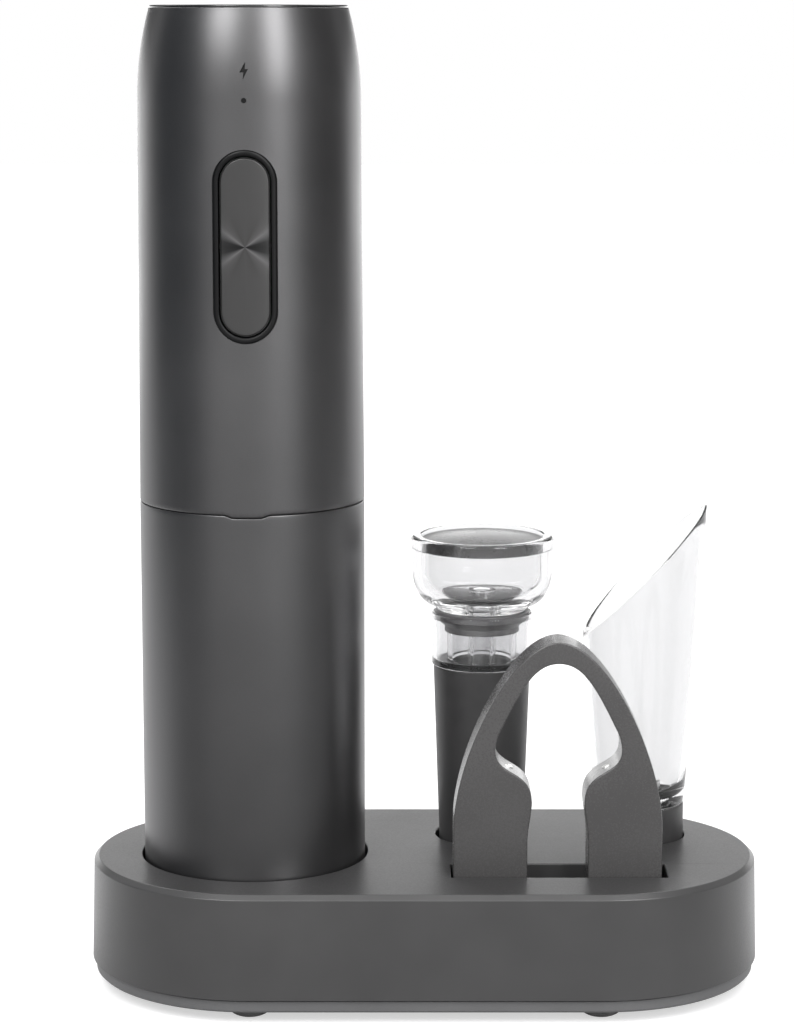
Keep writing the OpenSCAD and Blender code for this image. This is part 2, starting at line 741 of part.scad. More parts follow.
module tact_switches() color([0.15, 0.15, 0.16]) at_opener()
    for (side = [-1, 1]) translate([0, 0, btn_z + side * switch_offset]) {
        translate([-switch_size / 2, -switch_board_y - switch_h, -switch_size / 2])
            cube([switch_size, switch_h, switch_size]);
        translate([0, -switch_board_y - switch_h + 0.1, 0]) rotate([90, 0, 0])
            cylinder(h = plunger_y - switch_board_y - switch_h + 0.1, d = 3.4);
    }

module charge_board() color([0.05, 0.3, 0.15]) at_opener() {
    translate([0, (charge_board_y + charge_board_front_y) / 2, 0])
        post(charge_board_w, board_t, charge_board_z, charge_board_top_z);
    translate([3, charge_board_y + 0.6, 0]) post(4, 1.2, charge_board_z + 1, charge_board_z + 6);
}

module usb_socket() color([0.75, 0.75, 0.77]) at_opener() translate([0, 0, usb_z]) rotate([0, 0, 180]) {
    difference() {
        front_bar_flat(usb_w, usb_h, charge_board_y, usb_tip_y);
        front_bar_flat(usb_w - 2 * usb_wall, usb_h - 2 * usb_wall, charge_board_y + 2, usb_tip_y + 1);
    }
    translate([-usb_tongue_w / 2, -usb_tip_y + 0.6, -usb_tongue_t / 2])
        cube([usb_tongue_w, usb_tip_y - charge_board_y - 2, usb_tongue_t]);
}

module battery_cell() color([0.2, 0.45, 0.35]) at_opener() {
    translate([0, 0, cell_z]) cylinder(h = cell_l, d = cell_d);
    translate([0, 0, cell_z + cell_l - 0.1]) cylinder(h = 0.7, d = 5.6);
}

module inner_frame() color([0.85, 0.85, 0.83]) at_opener() {
    difference() {
        union() {
            translate([0, 0, motor_z]) cylinder(h = frame_ring_h, d = box_d);
            around(ear_angles, ear_ring) translate([0, 0, motor_z]) cylinder(h = frame_ring_h, d = ear_d);
            around(ear_angles, ear_ring - ear_d / 2)
                translate([-1, -ear_d / 2, motor_z]) cube([ear_d / 2 + 1, ear_d, frame_ring_h]);
            for (side = [-1, 1]) translate([side * (post_x + post_t / 2), 0, 0])
                post(post_t, post_w, motor_z, frame_top_z);
        }
        translate([0, 0, motor_z - 1]) cylinder(h = motor_l + bell_t + 1, d = motor_d + 4 * fit_gap);
        around(ear_angles, ear_ring) translate([0, 0, motor_z - 1])
            cylinder(h = frame_ring_h + 2, d = box_screw_d + 0.2);
    }
    post(2 * post_x + 0.2, 6, cell_z - 1, cell_z);
    for (z = [low_rib_z, high_rib_z]) difference() {
        translate([-post_x - 0.1, -switch_board_back_y, z])
            cube([2 * post_x + 0.2, switch_board_back_y + charge_board_front_y, frame_rib_t]);
        translate([0, 0, z - 1]) cylinder(h = frame_rib_t + 2, d = cell_d + 2 * fit_gap);
    }
}

// ---------------------------------------------------------------- chassis and gearbox

module chassis() color([0.16, 0.16, 0.17]) at_opener() difference() {
    rotate_extrude() polygon([[bush_d / 2, floor_z], [spigot_r - spigot_wall, floor_z],
        [spigot_r - spigot_wall, seam_z - spigot_l], [spigot_r, seam_z - spigot_l],
        [spigot_r, seam_z - spigot_l / 2 - ring_section], [groove_r, seam_z - spigot_l / 2 - ring_section],
        [groove_r, seam_z - spigot_l / 2 + ring_section], [spigot_r, seam_z - spigot_l / 2 + ring_section],
        [spigot_r, seam_z], [floor_r, seam_z], [floor_r, floor_top_z], [bush_d / 2, floor_top_z]]);
    around(ear_angles, ear_ring) translate([0, 0, floor_z + 0.6]) cylinder(h = 5, d = box_screw_d);
    around(housing_post_angles, housing_post_ring) translate([0, 0, floor_z - 1])
        cylinder(h = 6, d = housing_screw_d + 0.6);
}

module spigot_ring() color([0.05, 0.05, 0.05]) at_opener() translate([0, 0, seam_z - spigot_l / 2])
    rotate_extrude() translate([groove_r + ring_section / 2, 0]) circle(d = ring_section, $fn = 24);

module housing_screws() color([0.75, 0.75, 0.77]) at_opener()
    around(housing_post_angles, housing_post_ring) translate([0, 0, floor_z])
        screw(housing_screw_d, housing_screw_l, 2 * housing_screw_d);

// Half of the angle that a tooth takes at radius r on a gear with n teeth; play narrows it
function tooth_half(n, r, play) =
    let (pitch_r = gear_m * n / 2, base_r = pitch_r * cos(pressure_angle),
        a = acos(min(1, base_r / max(r, base_r))))
    90 / n - play / 2 / pitch_r * 180 / PI + (tan(pressure_angle) - tan(a)) * 180 / PI - pressure_angle + a;

// Outline of a gear; a tooth's middle lies at angle 0
function gear_outline(n, root_r, tip_r, play) =
    let (pitch_r = gear_m * n / 2, low_r = max(root_r, pitch_r * cos(pressure_angle)),
        radii = [root_r, low_r + 0.01, (low_r + pitch_r) / 2 + 0.02, pitch_r + 0.04, tip_r])
    [for (i = [0:n - 1]) each concat(
        [for (r = radii) let (a = i * 360 / n - tooth_half(n, r, play)) r * [cos(a), sin(a)]],
        [for (r = reversed(radii)) let (a = i * 360 / n + tooth_half(n, r, play)) r * [cos(a), sin(a)]])];

module gear(n, h) {
    linear_extrude(h)
        polygon(gear_outline(n, gear_m * n / 2 - tooth_root, gear_m * n / 2 + tooth_tip, gear_play));
}

// Turn of a planet that makes its teeth mesh with the sun at carrier angle a, and of the ring gear around it
function planet_turn(a) = a + 180 + a * sun_teeth / planet_teeth - 180 / planet_teeth;
function ring_turn(a) = a + (planet_turn(a) - a) * planet_teeth / ring_teeth;
PLANET_ANGLES = [90, 210, 330];

module planet(z, a) {
    color([0.85, 0.83, 0.76]) at_opener() translate([planet_ring * cos(a), planet_ring * sin(a), z])
        difference() {
            rotate([0, 0, planet_turn(a)]) gear(planet_teeth, planet_w);
            translate([0, 0, -1]) cylinder(h = planet_w + 2, d = planet_pin_d + 2 * run_gap);
        }
}

module gearbox_can() color([0.8, 0.78, 0.72]) at_opener() difference() {
    union() {
        translate([0, 0, floor_top_z]) cylinder(h = box_top_z - floor_top_z, d = box_d);
        around(ear_angles, ear_ring) translate([0, 0, floor_top_z])
            cylinder(h = box_top_z - floor_top_z, d = ear_d);
    }
    translate([0, 0, floor_top_z - 1]) linear_extrude(box_top_z - floor_top_z + 2)
        rotate([0, 0, ring_turn(PLANET_ANGLES[0])])
            polygon(gear_outline(ring_teeth, gear_m * ring_teeth / 2 - 0.8 * gear_m,
                gear_m * ring_teeth / 2 + tooth_root, -gear_play));
    around(ear_angles, ear_ring) translate([0, 0, floor_top_z - 1])
        cylinder(h = box_top_z - floor_top_z + 2, d = box_screw_d + 0.2);
}

module motor_plate() color([0.7, 0.7, 0.72]) at_opener() difference() {
    union() {
        translate([0, 0, box_top_z]) cylinder(h = plate_t, d = box_d);
        around(ear_angles, ear_ring) translate([0, 0, box_top_z]) cylinder(h = plate_t, d = ear_d);
    }
    translate([0, 0, box_top_z - 1]) cylinder(h = plate_t + 2, d = motor_boss_d + 2 * fit_gap);
    around(ear_angles, ear_ring) translate([0, 0, box_top_z - 1])
        cylinder(h = plate_t + 2, d = box_screw_d + 0.2);
    around([0, 180], motor_screw_ring) translate([0, 0, box_top_z - 1])
        cylinder(h = plate_t + 2, d = motor_screw_d);
}

module gearbox_screws() color([0.75, 0.75, 0.77]) at_opener()
    around(ear_angles, ear_ring) translate([0, 0, motor_z + frame_ring_h]) rotate([180, 0, 0])
        screw(box_screw_d, motor_z + frame_ring_h - floor_z - 1, 4.4);

module output_bush() color([0.75, 0.55, 0.3]) at_opener() rotate_extrude()
    polygon([[shaft_d / 2 + run_gap, floor_z], [bush_d / 2, floor_z], [bush_d / 2, floor_top_z],
        [bush_d / 2 + 1.2, floor_top_z], [bush_d / 2 + 1.2, floor_top_z + bush_flange_t],
        [shaft_d / 2 + run_gap, floor_top_z + bush_flange_t]]);

// Carrier plate with its planet pins
module carrier(z) {
    translate([0, 0, z]) cylinder(h = carrier_t, d = carrier_d);
    around(PLANET_ANGLES, planet_ring) translate([0, 0, z + carrier_t / 2])
        cylinder(h = carrier_t / 2 + axial_gap + planet_w, d = planet_pin_d);
}

module fast_carrier() color([0.7, 0.7, 0.72]) at_opener() {
    carrier(fast_plate_z);
    translate([0, 0, slow_z]) gear(sun_teeth, planet_w + axial_gap + carrier_t / 2);
}

module output_carrier() color([0.7, 0.7, 0.72]) at_opener() {
    carrier(out_plate_z);
    translate([0, 0, hub_z + shank_l + 0.2])
        cylinder(h = out_plate_z - hub_z - shank_l + carrier_t / 2, d = shaft_d);
}

// ---------------------------------------------------------------- motor

module motor_can() color([0.72, 0.72, 0.74]) at_opener() difference() {
    union() {
        translate([0, 0, motor_z]) cylinder(h = motor_l, d = motor_d);
        translate([0, 0, motor_z - plate_t + 0.2]) cylinder(h = plate_t, d = motor_boss_d);
    }
    translate([0, 0, motor_z + 1.4]) cylinder(h = motor_l, d = motor_d - 2 * motor_wall);
    translate([0, 0, motor_z - plate_t]) cylinder(h = plate_t + 2, d = motor_shaft_d + 2 * run_gap);
    around([0, 180], motor_screw_ring) translate([0, 0, motor_z - 1]) cylinder(h = 4, d = motor_screw_d);
}

module motor_magnets() color([0.2, 0.2, 0.2]) at_opener() for (side = [-1, 1]) intersection() {
    translate([0, 0, motor_z + 3.4]) difference() {
        cylinder(h = motor_l - 7, d = motor_d - 2 * motor_wall - 2 * fit_gap);
        translate([0, 0, -1]) cylinder(h = motor_l, d = motor_d - 2 * motor_wall - 2 * magnet_t);
    }
    translate([side * motor_d / 2, 0, 0]) post(motor_d - 8, motor_d, motor_z, bell_z);
}

module motor_end_bell() color([0.12, 0.12, 0.13]) at_opener() {
    difference() {
        translate([0, 0, bell_z]) cylinder(h = bell_t, d = motor_d);
        translate([0, 0, bell_z - 1]) cylinder(h = bell_t, d = motor_shaft_d + 2 * run_gap);
    }
    for (side = [-1, 1]) translate([terminal_x * side, -terminal_y, 0])
        post(2, terminal_t, bell_z + bell_t - 0.5, bell_z + bell_t + terminal_h);
}

module motor_screws() color([0.75, 0.75, 0.77]) at_opener()
    around([0, 180], motor_screw_ring) translate([0, 0, box_top_z])
        screw(motor_screw_d, plate_t + 1.4 + 0.6, 4.2);

module motor_shaft() color([0.8, 0.8, 0.82]) at_opener() translate([0, 0, fast_z + axial_gap / 2])
    cylinder(h = bell_z + bell_t - 1.4 - fast_z - axial_gap, d = motor_shaft_d);

module motor_armature() color([0.7, 0.4, 0.2]) at_opener() difference() {
    union() {
        translate([0, 0, motor_z + armature_in]) cylinder(h = motor_l - 2 * armature_in - 0.2,
            d = motor_d - 2 * (motor_wall + magnet_t + rotor_gap));
        translate([0, 0, motor_z + motor_l - 4.6]) cylinder(h = 3.4, d = 6);
    }
    around([0, 120, 240], motor_d / 2 - 5.3) translate([0, 0, motor_z + 3.4])
        translate([0, -1, 0]) cube([4, 2, motor_l - 7]);
    translate([0, 0, motor_z]) cylinder(h = motor_l, d = motor_shaft_d);
}

module motor_pinion() color([0.85, 0.7, 0.35]) at_opener() difference() {
    translate([0, 0, fast_z + axial_gap / 2]) gear(sun_teeth, planet_w);
    translate([0, 0, fast_z - 1]) cylinder(h = planet_w + 3, d = motor_shaft_d);
}

// Round tube through a list of points, one radius for each point
function tangent(path, i) = unit(path[min(i + 1, len(path) - 1)] - path[max(i - 1, 0)]);
function square_to(v, t) = unit(v - (v * t) * t);
function side_vectors(path, i = 0, last = [1, 0, 0.01], out = []) =
    i == len(path) ? out
        : let (v = square_to(last, tangent(path, i))) side_vectors(path, i + 1, v, concat(out, [v]));

module tube_along(path, radii, sides) {
    across = side_vectors(path);
    points = [for (i = [0:len(path) - 1], k = [0:sides - 1])
        let (t = tangent(path, i), u = across[i], v = cross(t, u), a = 360 * k / sides)
        path[i] + radii[i] * (cos(a) * u + sin(a) * v)];
    skin = [for (i = [0:len(path) - 2], k = [0:sides - 1]) let (n = (k + 1) % sides, a = i * sides) each
        [[a + k, a + sides + k, a + sides + n], [a + k, a + sides + n, a + n]]];
    polyhedron(points, concat(skin, [[for (k = [0:sides - 1]) k]],
        [[for (k = [sides - 1:-1:0]) (len(path) - 1) * sides + k]]));
}

// Two leads from the motor's tabs to the back of the button's board
module motor_leads() color([0.7, 0.1, 0.1]) at_opener() for (side = [-1, 1]) {
    start_y = terminal_y + terminal_t / 2;
    start_z = bell_z + bell_t + terminal_h - 0.7;
    route = [[terminal_x * side, -start_y, start_z], [terminal_x * side, -start_y - 0.8, start_z],
        [6.2 * side, -start_y - 2.6, start_z + 1.4], [6 * side, -switch_board_back_y + 3.6, start_z + 3.6],
        [5.4 * side, -switch_board_back_y + 1.8, start_z + 5.1],
        [5 * side, -switch_board_back_y + 0.8, start_z + 5.5],
        [5 * side, -switch_board_back_y, start_z + 5.5]];
    tube_along(route, [for (p = route) lead_r], 8);
}

// ---------------------------------------------------------------- worm

module worm_hub() color([0.6, 0.6, 0.62]) at_opener() difference() {
    union() {
        translate([0, 0, hub_z + 1]) cylinder(h = hub_l - 1, d = hub_d);
        translate([0, 0, hub_z]) cylinder(h = 1, d1 = hub_d - 2, d2 = hub_d);
    }
    translate([0, 0, hub_z + shank_l]) cylinder(h = hub_l, d = shaft_d);
    translate([0, 0, hub_z - 1]) cylinder(h = shank_l + 2, d = wire_d);
}

// Smooth step from 0 to 1
function ease(x) = let (t = min(1, max(0, x))) t * t * (3 - 2 * t);

function worm_point(depth) =
    let (a = -360 * depth / worm_pitch, r = worm_r * ease((depth - 0.5) / (worm_pitch * 0.6)))
    [r * cos(a), r * sin(a), hub_z - depth];

module worm() color([0.8, 0.8, 0.82]) at_opener() {
    depths = [for (i = [0:worm_steps]) worm_l * i / worm_steps];
    tube_along([for (d = depths) worm_point(d)],
        [for (d = depths) let (left = (worm_l - d) / worm_tip_l)
            worm_tip_d / 2 + (wire_d - worm_tip_d) / 2 * sin(90 * min(1, left))], worm_sides);
    translate([0, 0, hub_z - 0.4]) cylinder(h = shank_l + 0.4, d = wire_d);
}

// ---------------------------------------------------------------- vacuum stopper

module at_stopper() translate([stopper_x, back_y, 0]) children();

module stopper_plug() color([0.15, 0.15, 0.16]) at_stopper() {
    nose_r = plug_d / 2 - plug_taper * (small_well - 2);
    rotate_extrude() polygon(concat([[3.2, small_seat_z]],
        quarter(nose_r - 1.6, small_seat_z, nose_r, small_seat_z + 2, 4),
        [[plug_top_d / 2, plug_top_z], [cylinder_r, plug_top_z], [cylinder_r, cylinder_z],
            [3.2, cylinder_z]]));
}

module stopper_barrel() color([0.9, 0.9, 0.92, 0.4]) at_stopper() difference() {
    floor_top = cylinder_z + cylinder_floor_t;
    lip_z = barrel_top_z + barrel_lip_h;
    lip_in_r = barrel_d / 2 - barrel_lip_t;
    wall_in_r = barrel_d / 2 - barrel_wall;
    rotate_extrude() polygon([[valve_stem_d / 2, cylinder_z], [cylinder_r, cylinder_z],
        [cylinder_r, plug_top_z], [barrel_d / 2 - 0.3, plug_top_z], [barrel_d / 2, plug_top_z + 0.3],
        [barrel_d / 2, lip_z - 0.2], [barrel_d / 2 - 0.2, lip_z], [lip_in_r, lip_z],
        [lip_in_r, barrel_top_z], [wall_in_r, barrel_top_z], [wall_in_r, plug_top_z + barrel_foot_t],
        [cylinder_r, plug_top_z + barrel_foot_t], [cylinder_r, tube_top_z], [pump_bore / 2, tube_top_z],
        [pump_bore / 2, floor_top], [valve_stem_d / 2, floor_top]]);
    around([0, 120, 240], 2.4) translate([0, 0, cylinder_z - 1]) cylinder(h = cylinder_floor_t + 2, d = 1);
}

module stopper_gland() color([0.1, 0.1, 0.11]) at_stopper() {
    bore_r = rod_d / 2 + run_gap;
    skirt_in_r = cylinder_r + fit_gap;
    ring_r = skirt_in_r + gland_skirt_t;
    flange_r = barrel_d / 2 - barrel_lip_t - fit_gap;
    shell_r = barrel_d / 2 - barrel_wall - fit_gap;
    rotate_extrude() polygon([[bore_r, tube_top_z], [skirt_in_r, tube_top_z],
        [skirt_in_r, tube_top_z - gland_skirt_h], [ring_r, tube_top_z - gland_skirt_h],
        [ring_r, barrel_top_z - gland_cone_h], [shell_r, barrel_top_z], [flange_r, barrel_top_z],
        [flange_r, knob_z - 0.3], [flange_r - 0.3, knob_z], [bore_r, knob_z]]);
}

module stopper_valve() color([0.1, 0.1, 0.11]) at_stopper() {
    translate([0, 0, cylinder_z + cylinder_floor_t]) cylinder(h = 0.8, d = valve_d);
    translate([0, 0, cylinder_z - 1]) cylinder(h = cylinder_floor_t + 1.2, d = valve_stem_d);
}

module pump_knob() color([0.9, 0.9, 0.92, 0.4]) at_stopper() {
    foot_r = knob_foot_d / 2;
    side_r = knob_d / 2 - 0.4;
    seat_r = disc_d / 2 + fit_gap;
    room_r = seat_r - 0.8;
    room_z = knob_z + knob_floor_t;
    rotate_extrude() polygon(concat([[rod_d / 2, knob_z], [foot_r, knob_z], [foot_r, knob_z + 1.2]],
        quarter(foot_r + 0.4, knob_z + 1.2, side_r, knob_side_z, 8),
        [[knob_d / 2, knob_top_z - 0.6], [knob_d / 2 - 0.6, knob_top_z], [seat_r, knob_top_z],
            [seat_r, disc_z], [room_r, disc_z]],
        reversed(quarter(foot_r - knob_wall, room_z, room_r, knob_side_z, 6)), [[rod_d / 2, room_z]]));
}

module knob_disc() color([0.25, 0.25, 0.27]) at_stopper() {
    rim_z = disc_z + disc_t;
    rotate_extrude() polygon([[0, disc_z], [disc_d / 2, disc_z], [disc_d / 2, rim_z],
        [disc_d / 2 - 1, rim_z + 0.1], [disc_d / 3, rim_z + 0.35], [disc_d / 6, rim_z + 0.47],
        [0, rim_z + 0.5]]);
}

module pump_rod() color([0.92, 0.92, 0.92, 0.5]) at_stopper() translate([0, 0, piston_z]) difference() {
    cylinder(h = knob_z + knob_floor_t + 0.4 - piston_z, d = rod_d);
    translate([0, 0, rod_end_t]) cylinder(h = knob_z + knob_floor_t + 1 - piston_z, d = rod_d - 2 * rod_wall);
}

module pump_piston() color([0.1, 0.1, 0.11]) at_stopper() {
    seal_r = pump_bore / 2 - run_gap;
    top_z = piston_z + piston_h;
    rotate_extrude() polygon([[rod_d / 2, piston_z], [seal_r - 0.6, piston_z], [seal_r, piston_z + 0.6],
        [seal_r, piston_z + 2], [seal_r - 0.8, piston_z + 2.4], [seal_r - 0.8, top_z - 2.4],
        [seal_r, top_z - 2], [seal_r, top_z - 0.6], [seal_r - 0.6, top_z], [rod_d / 2, top_z]]);
}

// ---------------------------------------------------------------- pourer

module at_pourer() translate([pourer_x, back_y, 0]) children();

// The spout's outer line in its section, as distances from the axis and heights
SPOUT_CURVE = [[collar_d / 2, collar_top_z], [collar_d / 2 + 1.6, deck_z + 0.35 * tip_h],
    [mouth_d / 2 - 0.8, deck_z + 0.58 * tip_h], [mouth_d / 2, deck_z + tip_h]];
function spout_line(inset) = [for (p = curve(SPOUT_CURVE, spout_steps)) [p[0] - inset, p[1]]];

module pourer_spout() color([0.9, 0.9, 0.92, 0.4]) at_pourer() {
    outer = spout_line(0);
    inner = [for (p = spout_line(spout_wall)) if (p[1] > collar_top_z + funnel_h) p];
    difference() {
        rotate_extrude() polygon(concat([[channel_d / 2, deck_z], [channel_d / 2 + channel_wall, deck_z],
            [channel_d / 2 + channel_wall, collar_top_z]], outer, reversed(inner),
            [[channel_d / 2, collar_top_z + funnel_foot_h]]));
        translate([mouth_d / 2, 0, deck_z + tip_h]) rotate([0, -mouth_angle, 0])
            translate([-2 * mouth_d, -mouth_d, 0]) cube([3 * mouth_d, 2 * mouth_d, 2 * mouth_d]);
    }
}

module pourer_collar() color([0.15, 0.15, 0.16]) at_pourer() rotate_extrude()
    polygon([[channel_d / 2, small_seat_z], [collar_body_d / 2 - 0.8, small_seat_z],
        for (z = [small_seat_z + 2:4:deck_z - 3]) each [[collar_body_d / 2, z], [collar_d / 2 - 0.5, z + 0.6],
            [collar_d / 2 - 0.5, z + 1.2], [collar_body_d / 2, z + 1.8]],
        [collar_body_d / 2, deck_z - 1.2], [collar_d / 2, deck_z - 0.6], [collar_d / 2, collar_top_z],
        [channel_d / 2 + channel_wall, collar_top_z], [channel_d / 2 + channel_wall, deck_z],
        [channel_d / 2, deck_z]]);

module pourer_air_tube() color([0.75, 0.75, 0.77]) at_pourer()
    translate([channel_d / 2 - air_tube_d / 2 - fit_gap, 0, small_seat_z + 1]) difference() {
        cylinder(h = collar_top_z + 5.5 - small_seat_z, d = air_tube_d);
        translate([0, 0, -1]) cylinder(h = collar_top_z + 10 - small_seat_z, d = air_tube_d - 1.2);
        translate([air_tube_d, 0, collar_top_z + 6 - small_seat_z]) rotate([0, -30, 0])
            post(4 * air_tube_d, 2 * air_tube_d, -1.2, 6);
    }

// ---------------------------------------------------------------- foil cutter

// Curves of one half of the outline, from the front; heights count from the top of the stand
OUTER_CURVE = [[cutter_w / 2, leg_top_h], [cutter_w / 2, leg_top_h + arm_bow_h], [crown_bow, cutter_h],
    [0, cutter_h]];
EYE_CURVE = [[0, cutter_h - crown_t], [crown_bow - crown_in, cutter_h - crown_t],
    [eye_w / 2 - eye_side_in, eye_h + eye_side_h], [eye_w / 2, eye_h]];
SHOULDER_CURVE = [[eye_w / 2, eye_h], [eye_w / 2 + shoulder_out, eye_h - shoulder_low],
    [nib_gap / 2, nib_h + nib_rise], [nib_gap / 2, nib_h]];
NIB_CURVE = [[nib_gap / 2, nib_h], [nib_gap / 2, nib_h - nib_bow], [leg_gap / 2, nib_h - nib_foot_bow],
    [leg_gap / 2, nib_h - nib_fall]];
OUTER_HALF = concat([[cutter_w / 2, -slot_depth]], curve(OUTER_CURVE, outline_steps));
INNER_HALF = concat(curve(EYE_CURVE, outline_steps), curve(SHOULDER_CURVE, outline_steps),
    curve(NIB_CURVE, 6), [[leg_gap / 2, -slot_depth]]);

function without_doubles(list) = [for (i = [0:len(list) - 1])
    if (norm(list[i] - list[(i + 1) % len(list)]) > 0.001) list[i]];

// Middle of a wheel that stands out of the opening's edge at the middle of a curve
function wheel_spot(p) = let (d = unit(p[3] + p[2] - p[1] - p[0]))
    curve_at(p, 0.5) + [-d[1], d[0]] * (wheel_d / 2 - wheel_poke);
WHEELS = [wheel_spot(SHOULDER_CURVE), wheel_spot(EYE_CURVE),
    flipped([wheel_spot(SHOULDER_CURVE)])[0], flipped([wheel_spot(EYE_CURVE)])[0]];

// Places its children in the cutter's middle plane, drawn upright with their thickness along Y
module at_cutter(spot) translate([cutter_x + spot[0], -cutter_y, deck_z + spot[1]])
    rotate([90, 0, 0]) children();

module cutter_body() color([0.34, 0.34, 0.36]) difference() {
    at_cutter([0, 0]) translate([0, 0, -cutter_t / 2]) linear_extrude(cutter_t)
        polygon(without_doubles(concat(OUTER_HALF, flipped(reversed(OUTER_HALF)),
            flipped(reversed(INNER_HALF)), INNER_HALF)));
    for (w = WHEELS) at_cutter(w) {
        translate([0, 0, -wheel_t / 2 - pocket_gap])
            cylinder(h = wheel_t + 2 * pocket_gap, d = wheel_d + 2 * pocket_gap);
        translate([0, 0, -wheel_pin_l / 2]) cylinder(h = wheel_pin_l, d = wheel_pin_d);
    }
}

module cutter_pins() color([0.75, 0.75, 0.77])
    for (w = WHEELS) at_cutter(w) translate([0, 0, -wheel_pin_l / 2])
        cylinder(h = wheel_pin_l, d = wheel_pin_d);

module cutter_wheel(w) color([0.8, 0.8, 0.82]) at_cutter(w) rotate_extrude()
    polygon([[wheel_pin_d / 2 + run_gap, -wheel_t / 2], [wheel_d / 2 - 0.6, -wheel_t / 2],
        [wheel_d / 2, -0.04], [wheel_d / 2, 0.04], [wheel_d / 2 - 0.6, wheel_t / 2],
        [wheel_pin_d / 2 + run_gap, wheel_t / 2]]);

// ---------------------------------------------------------------- the whole object

base_shell();
base_bottom_plate();
rubber_feet();
base_screws();
lower_sleeve();
neck_guide();
upper_housing();
top_cap();
button_bezel();
switch_board();
tact_switches();
lamp_window();
battery_cell();
inner_frame();
charge_board();
usb_socket();
chassis();
spigot_ring();
housing_screws();
gearbox_can();
motor_plate();
gearbox_screws();
motor_can();
motor_magnets();
motor_end_bell();
motor_screws();
output_bush();
motor_leads();
motor_shaft();
motor_armature();
motor_pinion();
fast_carrier();
planet(fast_z, PLANET_ANGLES[0]);  // fast_planet_a
planet(fast_z, PLANET_ANGLES[1]);  // fast_planet_b
planet(fast_z, PLANET_ANGLES[2]);  // fast_planet_c
planet(slow_z, PLANET_ANGLES[0]);  // slow_planet_a
planet(slow_z, PLANET_ANGLES[1]);  // slow_planet_b
planet(slow_z, PLANET_ANGLES[2]);  // slow_planet_c
output_carrier();
worm_hub();
worm();
button();
button_trim();
stopper_plug();
stopper_barrel();
stopper_gland();
stopper_valve();
pump_knob();
knob_disc();
pump_rod();
pump_piston();
pourer_spout();
pourer_collar();
pourer_air_tube();
cutter_body();
cutter_pins();
cutter_wheel(WHEELS[0]);  // cutter_wheel_a
cutter_wheel(WHEELS[1]);  // cutter_wheel_b
cutter_wheel(WHEELS[2]);  // cutter_wheel_c
cutter_wheel(WHEELS[3]);  // cutter_wheel_d
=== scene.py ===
from math import asin, ceil, cos, dist, hypot, pi, radians, sin, sqrt, tan

import bmesh
import bpy
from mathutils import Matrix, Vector, geometry


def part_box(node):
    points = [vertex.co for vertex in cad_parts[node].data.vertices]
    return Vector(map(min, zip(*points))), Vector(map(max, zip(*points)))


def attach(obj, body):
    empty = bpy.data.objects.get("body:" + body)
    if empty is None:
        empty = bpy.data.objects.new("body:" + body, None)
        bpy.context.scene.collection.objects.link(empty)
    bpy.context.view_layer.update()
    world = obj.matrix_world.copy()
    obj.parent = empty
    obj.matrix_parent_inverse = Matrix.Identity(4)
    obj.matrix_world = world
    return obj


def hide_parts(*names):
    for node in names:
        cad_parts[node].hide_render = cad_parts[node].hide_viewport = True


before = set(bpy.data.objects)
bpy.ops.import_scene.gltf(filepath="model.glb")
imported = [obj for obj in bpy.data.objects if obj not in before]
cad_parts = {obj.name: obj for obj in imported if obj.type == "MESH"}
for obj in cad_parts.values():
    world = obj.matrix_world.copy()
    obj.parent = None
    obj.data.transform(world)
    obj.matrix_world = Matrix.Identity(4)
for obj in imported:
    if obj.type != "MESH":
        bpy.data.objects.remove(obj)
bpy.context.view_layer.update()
MM = 0.001

# -------------------- studio
# A seamless pale table under a white sky, two big soft boxes high in front and a strip light behind. Two dark flags
# beside the object and two boards far behind it are seen by its glossy surfaces alone.

scene = bpy.context.scene
scene.view_settings.view_transform = "Standard"

CAMERA_TILT = 0.163
camera = bpy.data.objects.new("camera", bpy.data.cameras.new("camera"))
camera.location = (-6.226 * MM, -651.926 * MM, 214.387 * MM)
camera.rotation_euler = (pi / 2 - CAMERA_TILT, 0, 0)
camera.data.lens, camera.data.sensor_width, camera.data.clip_start = 103.88, 36, 0.01
scene.collection.objects.link(camera)
scene.camera = camera


class Wire:
    """A node's output that takes part in sums and products like a number."""

    def __init__(self, owner, socket):
        self.owner, self.socket = owner, socket

    def math(self, operation, *others):
        return self.owner.add("ShaderNodeMath", (self, *others), operation=operation)

    def twin(self, key):
        """Another output of the same node."""
        return Wire(self.owner, self.socket.node.outputs[key])

    def __add__(self, other):
        return self.math("ADD", other)

    def __mul__(self, other):
        return self.math("MULTIPLY", other)

    def __sub__(self, other):
        return self.math("SUBTRACT", other)

    def __rsub__(self, other):
        return self.owner.add("ShaderNodeMath", (other, self), operation="SUBTRACT")

    __radd__, __rmul__ = __add__, __mul__

